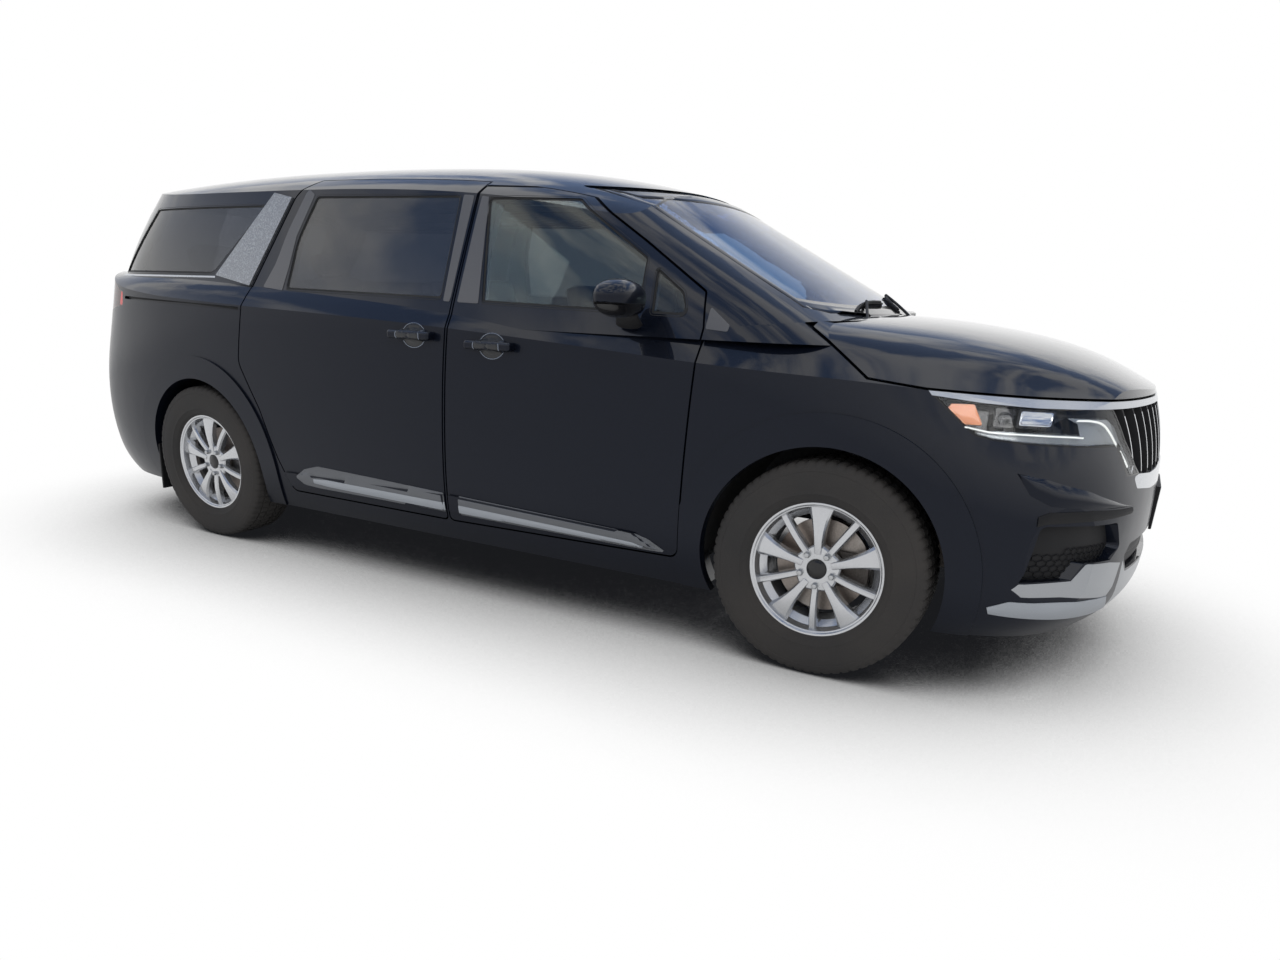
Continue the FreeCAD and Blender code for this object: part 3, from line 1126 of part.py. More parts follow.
rear_hub = hub(REAR_AXLE).fuse(caliper(REAR_AXLE, 1))
beam_half = DISC_MIDDLE - size("disc_thickness") / 2 - size("carrier_length") / 2
beam = Part.makeCylinder(size("beam_radius"), 2 * beam_half + size("arm_depth"), Vector(REAR_AXLE, -beam_half - size("arm_depth") / 2, AXLE_HEIGHT), Vector(0, 1, 0))
rear_spring = Part.makeCylinder(size("strut_radius"), level(0.260) - AXLE_HEIGHT, Vector(REAR_AXLE, -across(0.52), AXLE_HEIGHT))
trailing_arm = box(REAR_AXLE, station(1.128), -across(0.50) - arm_half, -across(0.50) + arm_half, AXLE_HEIGHT - arm_half, AXLE_HEIGHT + arm_half)
rear_suspension = beam
for shape in (rear_hub, rear_spring, trailing_arm):
    rear_suspension = rear_suspension.fuse([shape, mirrored(shape)])
piece("rear_suspension", solids_of(rear_suspension))

# Engine, tank, exhaust and cabin


def bound_box(label, spans):
    """A box whose six faces follow (station, half width, level) shares through the sheet."""
    item = doc.addObject("Part::Box", label)
    item.Label = label
    shape = block(spans)
    low = shape.BoundBox
    item.setExpression("Length", "%.6f * Sizes.wheelbase" % (low.XLength / size("wheelbase")))
    item.setExpression("Width", "%.6f * Sizes.overall_width" % (low.YLength / size("overall_width")))
    item.setExpression("Height", "%.6f * Sizes.overall_height" % (low.ZLength / HEIGHT))
    item.Placement = Placement(Vector(low.XMin, low.YMin, low.ZMin), Rotation())
    nodes[label] = item
    return item


bound_box("engine_block", (2.080, 2.600, -0.400, 0.400, 0.170, 0.500))
bound_box("fuel_tank", (1.200, 1.420, -0.480, 0.480, 0.115, 0.1700))
bound_box("muffler", (0.300, 0.620, 0.250, 0.620, 0.140, 0.220))


def pipe(route_shares, radius):
    """A pipe along straight runs between (station, half width, level) points, with round elbows."""
    points = [Vector(station(x), across(y), level(z)) for x, y, z in route_shares]
    runs = [Part.makeCylinder(radius, (b - a).Length, a, b - a) for a, b in zip(points, points[1:])]
    elbows = [Part.makeSphere(radius, p) for p in points[1:-1]]
    return solids_of(runs[0].fuse(runs[1:] + elbows))


EXHAUST_SHARES = (
    (2.080, 0.300, 0.190), (1.915, 0.300, 0.190), (1.860, 0.440, 0.150), (1.500, 0.560, 0.150), (1.100, 0.560, 0.150),
    (0.760, 0.433, 0.178), (0.620, 0.433, 0.178),
)
TAIL_PIPE_SHARES = ((0.300, 0.433, 0.150), (0.220, 0.433, 0.150), (0.150, 0.433, 0.104), (0.040, 0.433, 0.104))
exhaust = Part.makeCompound([pipe(EXHAUST_SHARES, size("pipe_radius")), pipe(TAIL_PIPE_SHARES, size("tail_pipe_radius"))])
piece("exhaust_pipe", exhaust)
DASH_SHARES = (1.710, 1.8395, -0.74, 0.74, 0.430, 0.610)
STEERING_SHARES = (1.665, 0.370, 0.560)
INSIDE_PILLARS = body_volume(size("frame_depth") + size("rest_gap"), size("post_depth") + size("rest_gap"), size("rail_depth"))
dash = whole(block(DASH_SHARES).common(INSIDE_PILLARS))
steering_centre = Vector(station(STEERING_SHARES[0]), across(STEERING_SHARES[1]), level(STEERING_SHARES[2]))
tilt = math.radians(size("steering_tilt"))
down_column = Vector(math.sin(tilt), 0, -math.cos(tilt))
column_start = size("steering_boss_depth") + size("joint_gap")
column = Part.makeCylinder(
    size("column_radius"), size("steering_ring_radius"), steering_centre + down_column * column_start, down_column
)
piece("dashboard", solids_of(dash.fuse(column)))


def seat(front, width_low, width_high, base):
    """One seat: cushion, backrest and head restraint from shares."""
    profile = (
        (front, base + 0.055), (front, base + 0.120), (front - 0.135, base + 0.105), (front - 0.190, base + 0.440),
        (front - 0.185, base + 0.450), (front - 0.190, base + 0.520), (front - 0.225, base + 0.520),
        (front - 0.228, base + 0.440), (front - 0.180, base + 0.030), (front - 0.03, base),
    )
    return side_cut([(station(x), level(z)) for x, z in profile], across(width_low), across(width_high))


front_seat = seat(1.640, -0.62, -0.16, 0.200)
middle_seat = seat(1.330, -0.66, -0.10, 0.200)
rear_seat = seat(1.035, -0.62, 0.62, 0.282)
piece("seats", Part.makeCompound([front_seat, mirrored(front_seat), middle_seat, mirrored(middle_seat), rear_seat]))

# Steering wheel: a grip ring, a boss and a bar across

ring = doc.addObject("Part::Torus", "steering_ring")
ring.setExpression("Radius1", "Sizes.steering_ring_radius")
ring.setExpression("Radius2", "Sizes.steering_grip_radius")
boss = doc.addObject("Part::Cylinder", "steering_boss")
boss.setExpression("Radius", "Sizes.steering_boss_radius")
boss.setExpression("Height", "Sizes.steering_boss_depth")
boss.setExpression("Placement.Base.z", "-Sizes.steering_boss_depth")
bar = doc.addObject("Part::Box", "steering_bar")
bar.setExpression("Length", "2 * Sizes.steering_ring_radius")
bar.setExpression("Width", "Sizes.steering_grip_radius * 2")
bar.setExpression("Height", "Sizes.steering_grip_radius")
bar.setExpression("Placement.Base.x", "-Sizes.steering_ring_radius")
bar.setExpression("Placement.Base.y", "-Sizes.steering_grip_radius")
bar.setExpression("Placement.Base.z", "-Sizes.steering_grip_radius")
steering = doc.addObject("Part::MultiFuse", "steering_wheel")
steering.Label = "steering_wheel"
steering.Shapes = [ring, boss, bar]
doc.recompute()
steering.Placement = Placement(steering_centre, Rotation(Vector(0, 1, 0), -size("steering_tilt")))
nodes["steering_wheel"] = steering
doc.recompute()

# Every object must be sound before anything is written

for item in doc.Objects:
    if "Invalid" in item.State or "Error" in item.State:
        raise RuntimeError("%s did not build" % item.Label)
for name, item in nodes.items():
    if item.Shape.isNull() or not item.Shape.isValid():
        raise RuntimeError("%s has no sound shape" % name)
    print(name, [round(solid.Volume / 1e6, 2) for solid in item.Shape.Solids])
os.makedirs("parts", exist_ok=True)
for name, item in nodes.items():
    item.Shape.exportStep("parts/%s.step" % name)
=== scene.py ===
"""Dresses the fixed minivan frame: paint, glass, lamps, wheels, trims and cabin, on a stage."""

import math

import bmesh
import bpy
from mathutils import Matrix, Vector
from mathutils.bvhtree import BVHTree


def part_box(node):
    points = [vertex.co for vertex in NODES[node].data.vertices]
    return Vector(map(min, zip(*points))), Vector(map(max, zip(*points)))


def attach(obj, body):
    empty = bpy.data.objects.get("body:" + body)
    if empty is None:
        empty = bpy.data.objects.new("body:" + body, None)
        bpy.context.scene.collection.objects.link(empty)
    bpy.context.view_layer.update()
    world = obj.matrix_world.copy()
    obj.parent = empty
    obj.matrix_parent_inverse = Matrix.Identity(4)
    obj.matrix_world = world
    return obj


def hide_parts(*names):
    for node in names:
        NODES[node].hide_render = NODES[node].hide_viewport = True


bl_info = {
    "name": "Minivan dresser",
    "version": (1, 0, 0),
    "blender": (4, 5, 0),
    "location": "3D Viewport > Sidebar > Minivan",
    "description": "Dresses the minivan's fixed frame with its looks",
    "category": "Object",
}

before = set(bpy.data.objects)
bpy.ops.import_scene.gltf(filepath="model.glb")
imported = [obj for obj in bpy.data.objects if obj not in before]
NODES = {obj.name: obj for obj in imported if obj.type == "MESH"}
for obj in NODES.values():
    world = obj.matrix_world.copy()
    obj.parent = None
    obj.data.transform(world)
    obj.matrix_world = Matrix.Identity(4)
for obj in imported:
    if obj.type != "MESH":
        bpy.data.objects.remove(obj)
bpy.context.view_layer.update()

RIGHT, LEFT = -1, 1
WHEEL_CORNERS = (("front_right", RIGHT), ("front_left", LEFT), ("rear_right", RIGHT), ("rear_left", LEFT))

# Where the rays come from and how a drawn point is read, for each way of looking at the van
VIEWS = {
    "side": (lambda a, b: Vector((a, -1.6, b)), Vector((0, 1, 0))),
    "front": (lambda a, b: Vector((3.4, a, b)), Vector((-1, 0, 0))),
    "rear": (lambda a, b: Vector((-3.4, a, b)), Vector((1, 0, 0))),
    "top": (lambda a, b: Vector((a, b, 2.6)), Vector((0, 0, -1))),
    "under": (lambda a, b: Vector((a, b, 1.2)), Vector((0, 0, 1))),
    "inside": (lambda a, b: Vector((a, -0.3, b)), Vector((0, -1, 0))),
}


class VanColours(bpy.types.PropertyGroup):
    """Colours that a user would change"""

    paint: bpy.props.FloatVectorProperty(
        name="Paint", description="Metallic body paint", subtype="COLOR",
        default=(0.0048, 0.0068, 0.0135), min=0, max=1,
    )
    silver: bpy.props.FloatVectorProperty(
        name="Silver", description="Satin silver trims", subtype="COLOR",
        default=(0.52, 0.54, 0.57), min=0, max=1,
    )
    satin_grey: bpy.props.FloatVectorProperty(
        name="Satin grey", description="Pillar covers and sail", subtype="COLOR",
        default=(0.085, 0.085, 0.09), min=0, max=1,
    )
    plastic: bpy.props.FloatVectorProperty(
        name="Black plastic", description="Grained mouldings", subtype="COLOR",
        default=(0.008, 0.008, 0.009), min=0, max=1,
    )
    tyre: bpy.props.FloatVectorProperty(
        name="Tyre", description="Dusty tyre rubber", subtype="COLOR",
        default=(0.026, 0.025, 0.025), min=0, max=1,
    )
    alloy: bpy.props.FloatVectorProperty(
        name="Alloy", description="Painted wheel", subtype="COLOR",
        default=(0.50, 0.51, 0.53), min=0, max=1,
    )
    seat: bpy.props.FloatVectorProperty(
        name="Seats", description="Seat cloth", subtype="COLOR",
        default=(0.055, 0.055, 0.058), min=0, max=1,
    )


class VanSizes(bpy.types.PropertyGroup):
    """Sizes that a user would change"""

    tread_depth: bpy.props.FloatProperty(
        name="Tread depth", description="Depth of the tyre's grooves", default=0.0075, unit="LENGTH"
    )
    tread_blocks: bpy.props.IntProperty(
        name="Tread blocks", description="Blocks round one tyre", default=68, min=24, max=120
    )
    seal_on_glass: bpy.props.FloatProperty(
        name="Seal on glass", description="Width of a window seal on its pane", default=0.008, unit="LENGTH"
    )
    seal_on_frame: bpy.props.FloatProperty(
        name="Seal on frame", description="Width of a window seal on its frame", default=0.006, unit="LENGTH"
    )
    # The slat edge is a painted highlight: a bright strip along each black slat where light would catch it.
    slat_edge: bpy.props.FloatProperty(
        name="Slat edge", description="Width of a grille slat's bright edge", default=0.0036, unit="LENGTH"
    )


def colours():
    return bpy.context.scene.van_colours


def sizes():
    return bpy.context.scene.van_sizes


# Lines and nets


def smooth_line(points, count):
    """Points evenly along a smooth line through the given ones."""
    points = [Vector(p) for p in points]
    whole = [points[0] * 2 - points[1]] + points + [points[-1] * 2 - points[-2]]
    fine = []
    for k in range(1, len(whole) - 2):
        p0, p1, p2, p3 = whole[k - 1 : k + 3]
        for step in range(12):
            t = step / 12
            bend = 2 * p0 - 5 * p1 + 4 * p2 - p3
            twist = 3 * p1 - p0 - 3 * p2 + p3
            fine.append(0.5 * ((2 * p1) + (p2 - p0) * t + bend * t * t + twist * t**3))
    fine.append(points[-1])
    return even_line(fine, count)


def even_line(points, count):
    """Points evenly along a line of straight runs."""
    points = [Vector(p) for p in points]
    run = [0.0]
    for a, b in zip(points, points[1:]):
        run.append(run[-1] + (b - a).length)
    made, k = [], 0
    for step in range(count):
        want = run[-1] * step / (count - 1)
        while k < len(run) - 2 and run[k + 1] < want:
            k += 1
        span = max(run[k + 1] - run[k], 1e-9)
        made.append(points[k].lerp(points[k + 1], (want - run[k]) / span))
    return made


# Half the angle of a corner that is too flat to round
NEARLY_STRAIGHT = 1.55


def rounded_outline(corners, count):
    """A closed outline through (a, b) or (a, b, radius) corners, as evenly spaced points."""
    flat = []
    for k, corner in enumerate(corners):
        here = Vector(corner[:2])
        back = Vector(corners[k - 1][:2]) - here
        on = Vector(corners[(k + 1) % len(corners)][:2]) - here
        radius = corner[2] if len(corner) > 2 else 0.0
        half = back.angle(on) / 2
        if radius <= 0 or half > NEARLY_STRAIGHT:
            flat.append(here)
            continue
        run = min(radius / math.tan(half), 0.48 * back.length, 0.48 * on.length)
        start, end = here + back.normalized() * run, here + on.normalized() * run
        for step in range(9):
            t = step / 8
            flat.append(start * (1 - t) ** 2 + here * 2 * t * (1 - t) + end * t * t)
    return even_line(flat + [flat[0]], count + 1)[:-1]


def between(low, high, along, up):
    """Rows of points from one guide line to another."""
    low, high = even_line(low, along), even_line(high, along)
    return [[a.lerp(b, k / (up - 1)) for a, b in zip(low, high)] for k in range(up)]


def filled(corners, along, up, count=160):
    """Rows of points that fill a closed outline, column by column along its first direction."""
    edge = rounded_outline(corners, count)
    low_a, high_a = min(p.x for p in edge), max(p.x for p in edge)
    columns = []
    for k in range(along):
        a = low_a + (high_a - low_a) * (0.5 - 0.5 * math.cos(math.pi * (k + 0.15) / (along - 0.7)))
        a = min(max(a, low_a + 1e-5), high_a - 1e-5)
        cuts = []
        for p, q in zip(edge, edge[1:] + edge[:1]):
            if (p.x - a) * (q.x - a) < 0:
                cuts.append(p.y + (q.y - p.y) * (a - p.x) / (q.x - p.x))
        cuts = cuts or [edge[0].y, edge[0].y]
        columns.append([Vector((a, min(cuts) + (max(cuts) - min(cuts)) * j / (up - 1))) for j in range(up)])
    return [[column[j] for column in columns] for j in range(up)]


def banded(corners, inside, outside, count, rows=3):
    """Rows of points along a closed outline, from inside it to outside it."""
    edge = rounded_outline(corners, count)
    area = sum(p.x * q.y - q.x * p.y for p, q in zip(edge, edge[1:] + edge[:1]))
    turn = 1 if area > 0 else -1
    out = []
    for k, p in enumerate(edge):
        run = edge[(k + 1) % len(edge)] - edge[k - 1]
        out.append(Vector((run.y, -run.x)).normalized() * turn)
    steps = [-inside + (inside + outside) * j / (rows - 1) for j in range(rows)]
    return [[p + n * step for p, n in zip(edge, out)] for step in steps]


# Skins: the CAD nodes that a laid-on piece follows

SKINS = {}

# A ray that runs deeper than all its neighbours by more than this has gone in through a gap between panels
GAP_SLOPE, GAP_STEP = 3, 0.03
MOST_ROUNDS = 60


def skin(*names):
    if names not in SKINS:
        points, faces = [], []
        for name in names:
            mesh = NODES[name].data
            start = len(points)
            points += [v.co.copy() for v in mesh.vertices]
            faces += [[start + k for k in p.vertices] for p in mesh.polygons]
        SKINS[names] = BVHTree.FromPolygons(points, faces)
    return SKINS[names]


def cast(name, rows, view, tree, ring=False):
    """The drawn points put on the skin. A ray that misses, or finds a gap, takes its neighbours' depth."""
    start_at, way = VIEWS[view]
    depth = [[tree.ray_cast(start_at(p.x, p.y), way)[3] for p in row] for row in rows]
    high, wide = len(rows), len(rows[0])
    for _ in range(MOST_ROUNDS):
        changed = False
        fixed = [list(line) for line in depth]
        for j in range(high):
            for i in range(wide):
                near = []
                for dj, di in ((0, 1), (0, -1), (1, 0), (-1, 0)):
                    jj, ii = j + dj, (i + di) % wide if ring else i + di
                    if 0 <= jj < high and 0 <= ii < wide and depth[jj][ii] is not None:
                        near.append((depth[jj][ii], (rows[jj][ii] - rows[j][i]).length))
                if near and depth[j][i] is None:
                    fixed[j][i] = sum(run for run, gap in near) / len(near)
                    changed = True
                elif near and depth[j][i] > min(run + GAP_SLOPE * gap for run, gap in near) + GAP_STEP:
                    fixed[j][i] = min(near)[0]
                    changed = True
        depth = fixed
        if not changed:
            break
    if any(d is None for line in depth for d in line):
        raise RuntimeError(name + " lies outside its skin")
    return [[start_at(p.x, p.y) + way * d for p, d in zip(row, line)] for row, line in zip(rows, depth)]


def net_normals(net, ring=False):
    high, wide = len(net), len(net[0])
    normals = []
    for j in range(high):
        line = []
        for i in range(wide):
            i0, i1 = ((i - 1) % wide, (i + 1) % wide) if ring else (max(i - 1, 0), min(i + 1, wide - 1))
            j0, j1 = max(j - 1, 0), min(j + 1, high - 1)
            line.append((net[j][i1] - net[j][i0]).cross(net[j1][i] - net[j0][i]).normalized())
        normals.append(line)
    return normals


# Meshes


def linked(name, data):
    made = bpy.data.objects.new(name, data)
    bpy.context.scene.collection.objects.link(made)
    return made


def quads(start, high, wide, ring=False, loop=False):
    """The faces of a net of points. A ring closes each row, a loop joins the last row to the first."""
    faces = []
    for j in range(high if loop else high - 1):
        here, on = start + j * wide, start + (j + 1) % high * wide
        for i in range(wide if ring else wide - 1):
            k = (i + 1) % wide
            faces.append((here + i, here + k, on + k, on + i))
    return faces


def mesh_piece(name, points, faces, material, smooth=True):
    mesh = bpy.data.meshes.new(name)
    mesh.from_pydata([tuple(p) for p in points], [], faces)
    mesh.validate()
    fixer = bmesh.new()
    fixer.from_mesh(mesh)
    bmesh.ops.recalc_face_normals(fixer, faces=fixer.faces)
    fixer.to_mesh(mesh)
    fixer.free()
    if smooth:
        mesh.shade_smooth()
    made = linked(name, mesh)
    mesh.materials.append(material)
    return made


def rounded_edges(made, width, angle=0.6):
    bevel = made.modifiers.new("edge", "BEVEL")
    bevel.width, bevel.segments, bevel.limit_method, bevel.angle_limit = width, 2, "ANGLE", angle
    bevel.harden_normals = True
    return made


def net_slab(name, top, bottom, material, ring=False):
    """A closed piece between an upper and a lower net."""
    high, wide = len(top), len(top[0])
    points = [p for line in top for p in line] + [p for line in bottom for p in line]
    low = high * wide
    faces = []
    for face in quads(0, high, wide, ring):
        faces += [face, tuple(low + k for k in face[::-1])]
    for i in range(wide if ring else wide - 1):
        a, b = i, (i + 1) % wide
        faces.append((b, a, low + a, low + b))
        a, b = (high - 1) * wide + a, (high - 1) * wide + b
        faces.append((a, b, low + b, low + a))
    if not ring:
        for j in range(high - 1):
            a, b = j * wide, (j + 1) * wide
            faces.append((a, b, low + b, low + a))
            a, b = a + wide - 1, b + wide - 1
            faces.append((b, a, low + a, low + b))
    return mesh_piece(name, points, faces, material)


def laid(name, rows, view, tree, material, stand, thick, ring=False, crown=0.0, edge=0.0007):
    """A trim laid on the skin: drawn rows, how far it stands out of the skin, and its thickness."""
    net = cast(name, rows, view, tree, ring)
    normals = net_normals(net, ring)
    way = VIEWS[view][1]
    if sum(n.dot(way) for line in normals for n in line) > 0:
        normals = [[-n for n in line] for line in normals]
    high = len(net)
    rise = [stand + crown * math.sin(math.pi * j / (high - 1)) for j in range(high)]
    top = [[p + n * rise[j] for p, n in zip(line, ns)] for j, (line, ns) in enumerate(zip(net, normals))]
    bottom = [[p + n * (stand - thick) for p, n in zip(line, ns)] for line, ns in zip(net, normals)]
    made = net_slab(name, top, bottom, material, ring)
    return rounded_edges(made, edge) if edge else made


def lofted(name, loops, material):
    """A skin through closed loops of points, with flat ends."""
    wide = len(loops[0])
    faces = quads(0, len(loops), wide, ring=True)
    faces += [tuple(range(wide))[::-1], tuple((len(loops) - 1) * wide + i for i in range(wide))]
    return mesh_piece(name, [p for loop in loops for p in loop], faces, material)


def spun(profile, segments, swell=None):
    """A profile of (radius, place) corners turned about an axis across the van, one row of points a step."""
    points = []
    for k in range(segments):
        angle = 2 * math.pi * k / segments
        for radius, place in profile:
            r = swell(radius, angle) if swell else radius
            points.append((r * math.cos(angle), place, r * math.sin(angle)))
    return points


def tube(name, points, radius, material, order=4):
    """A round bar along a smooth line."""
    curve = bpy.data.curves.new(name, "CURVE")
    curve.dimensions, curve.bevel_depth, curve.bevel_resolution, curve.resolution_u = "3D", radius, 4, 8
    curve.use_fill_caps = True
    spline = curve.splines.new("NURBS")
    spline.points.add(len(points) - 1)
    for spot, p in zip(spline.points, points):
        spot.co = (*p, 1)
    spline.order_u, spline.use_endpoint_u = order, True
    made = linked(name, curve)
    curve.materials.append(material)
    return made


def copy_modifiers(source, target):
    for step in source.modifiers:
        same = target.modifiers.new(step.name, step.type)
        for part in step.bl_rna.properties:
            if not part.is_readonly and part.identifier not in ("name", "type"):
                setattr(same, part.identifier, getattr(step, part.identifier))


def on_left(made, name):
    """The same piece mirrored to the left side."""
    mesh = made.data.copy()
    mesh.name = name
    mesh.transform(Matrix.Diagonal((1, -1, 1, 1)))
    mesh.flip_normals()
    copy = linked(name, mesh)
    copy_modifiers(made, copy)
    return copy


def ride(made, body, slot_name):
    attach(made, body)
    return made


def ride_both(made, body, slot_name):
    """Puts a right-hand piece on its body, and its mirror image on the left one."""
    left = on_left(made, made.name.replace("_right", "_left"))
    for one, side in ((made, "right"), (left, "left")):
        ride(one, body.replace("SIDE", side), slot_name)
    return left


def trim(name, rows, view, tree, material, stand, thick, body, slot_name, **shape):
    """A trim laid on the skin and put on its body. A right-hand one gets its mirror image on the left."""
    made = laid(name, rows, view, tree, finishes()[material], stand, thick, **shape)
    return (ride_both if "_right" in name else ride)(made, body, slot_name)


# Finishes


def fresh_material(name):
    """A new material, with its nodes, its way to link them and its shader."""
    material = bpy.data.materials.new(name)
    material.use_nodes = True
    nodes = material.node_tree.nodes
    return material, nodes, material.node_tree.links.new, nodes["Principled BSDF"]


def texture(nodes, link, kind, place, **values):
    made = nodes.new("ShaderNodeTex" + kind)
    for name, value in values.items():
        made.inputs[name].default_value = value
    link(place, made.inputs["Vector"])
    return made


def ramp(nodes, link, share, low, high, places=(0.0, 1.0)):
    """Two colours over a share between two places."""
    made = nodes.new("ShaderNodeValToRGB")
    for stop, place, colour in zip(made.color_ramp.elements, places, (low, high)):
        stop.position = place
        stop.color = (*colour, 1)
    link(share, made.inputs["Fac"])
    return made.outputs["Color"]


def mapped(nodes, link, share, socket, low, high, start=0.0, end=1.0):
    """Values from low to high into a socket, as the share goes from start to end."""
    made = nodes.new("ShaderNodeMapRange")
    for name, value in (("From Min", start), ("From Max", end), ("To Min", low), ("To Max", high)):
        made.inputs[name].default_value = value
    link(share, made.inputs["Value"])
    link(made.outputs["Result"], socket)


def finish(
    name, colour, rough, metal=0.0, grain=80.0, spread=0.12, bump=0.1, depth=0.0005, dust=None,
    dust_share=0.0, coat=0.0, coat_rough=0.03, specular=0.5, sheen=0.0, pattern="noise",
):
    """A finish whose colour, roughness and relief vary with a fine grain and a broad one."""
    material, nodes, link, shader = fresh_material(name)
    for socket, value in (
        ("Metallic", metal), ("Coat Weight", coat), ("Coat Roughness", coat_rough),
        ("Specular IOR Level", specular), ("Sheen Weight", sheen),
    ):
        shader.inputs[socket].default_value = value
    place = nodes.new("ShaderNodeTexCoord").outputs["Object"]
    if pattern == "cells":
        fine = texture(nodes, link, "Voronoi", place, Scale=grain)
        fine.distance = "CHEBYCHEV"
        fine_out = fine.outputs["Distance"]
    else:
        fine_out = texture(nodes, link, "Noise", place, Scale=grain, Detail=4.0).outputs["Fac"]
    broad = texture(nodes, link, "Noise", place, Scale=2.6, Detail=5.0).outputs["Fac"]
    low, high = [c * (1 - spread) for c in colour], [min(1, c * (1 + spread)) for c in colour]
    colour_out = ramp(nodes, link, fine_out, low, high, (0.3, 0.7))
    if dust:
        mixed = nodes.new("ShaderNodeMixRGB")
        mixed.inputs["Color2"].default_value = (*dust, 1)
        link(ramp(nodes, link, broad, (0, 0, 0), (dust_share,) * 3, (0.35, 0.75)), mixed.inputs["Fac"])
        link(colour_out, mixed.inputs["Color1"])
        colour_out = mixed.outputs["Color"]
    link(colour_out, shader.inputs["Base Color"])
    mapped(nodes, link, broad, shader.inputs["Roughness"], rough * 0.85, min(1.0, rough * 1.15), 0.3, 0.7)
    if bump:
        relief = nodes.new("ShaderNodeBump")
        relief.inputs["Strength"].default_value = bump
        relief.inputs["Distance"].default_value = depth
        link(fine_out, relief.inputs["Height"])
        link(relief.outputs["Normal"], shader.inputs["Normal"])
    return material


def sides_shaded_coat(material, least):
    """The clear coat keeps its full gloss where the skin faces up, and is thinned on the sides as painted
    shade, so that the sides reflect less of the bright surroundings.
    """
    nodes, link = material.node_tree.nodes, material.node_tree.links.new
    split = nodes.new("ShaderNodeSeparateXYZ")
    link(nodes.new("ShaderNodeTexCoord").outputs["Normal"], split.inputs["Vector"])
    coat = nodes["Principled BSDF"].inputs["Coat Weight"]
    mapped(nodes, link, split.outputs["Z"], coat, least, 1.0, 0.10, 0.36)
    return material


def glass_finish(name, tint, rough=0.0, bend=1.48):
    """Clear or tinted glass, with faint uneven streaks in its tint and gloss."""
    material, nodes, link, shader = fresh_material(name)
    shader.inputs["Transmission Weight"].default_value = 1.0
    shader.inputs["IOR"].default_value = bend
    broad = texture(nodes, link, "Noise", nodes.new("ShaderNodeTexCoord").outputs["Object"], Scale=3.0)
    broad = broad.outputs["Fac"]
    link(ramp(nodes, link, broad, [c * 0.92 for c in tint], tint), shader.inputs["Base Color"])
    mapped(nodes, link, broad, shader.inputs["Roughness"], rough, rough + 0.01)
    return material


def light_finish(name, colour, strength):
    """A lamp's light guide: milky, lit a little from within. On a reflector, which is no lamp, this glow is
    painted light.
    """
    material = finish(name, colour, 0.25, grain=300, spread=0.03, bump=0.05, coat=0.6)
    shader = material.node_tree.nodes["Principled BSDF"]
    shader.inputs["Emission Color"].default_value = (*colour, 1)
    shader.inputs["Emission Strength"].default_value = strength
    return material


FINISHES = {}


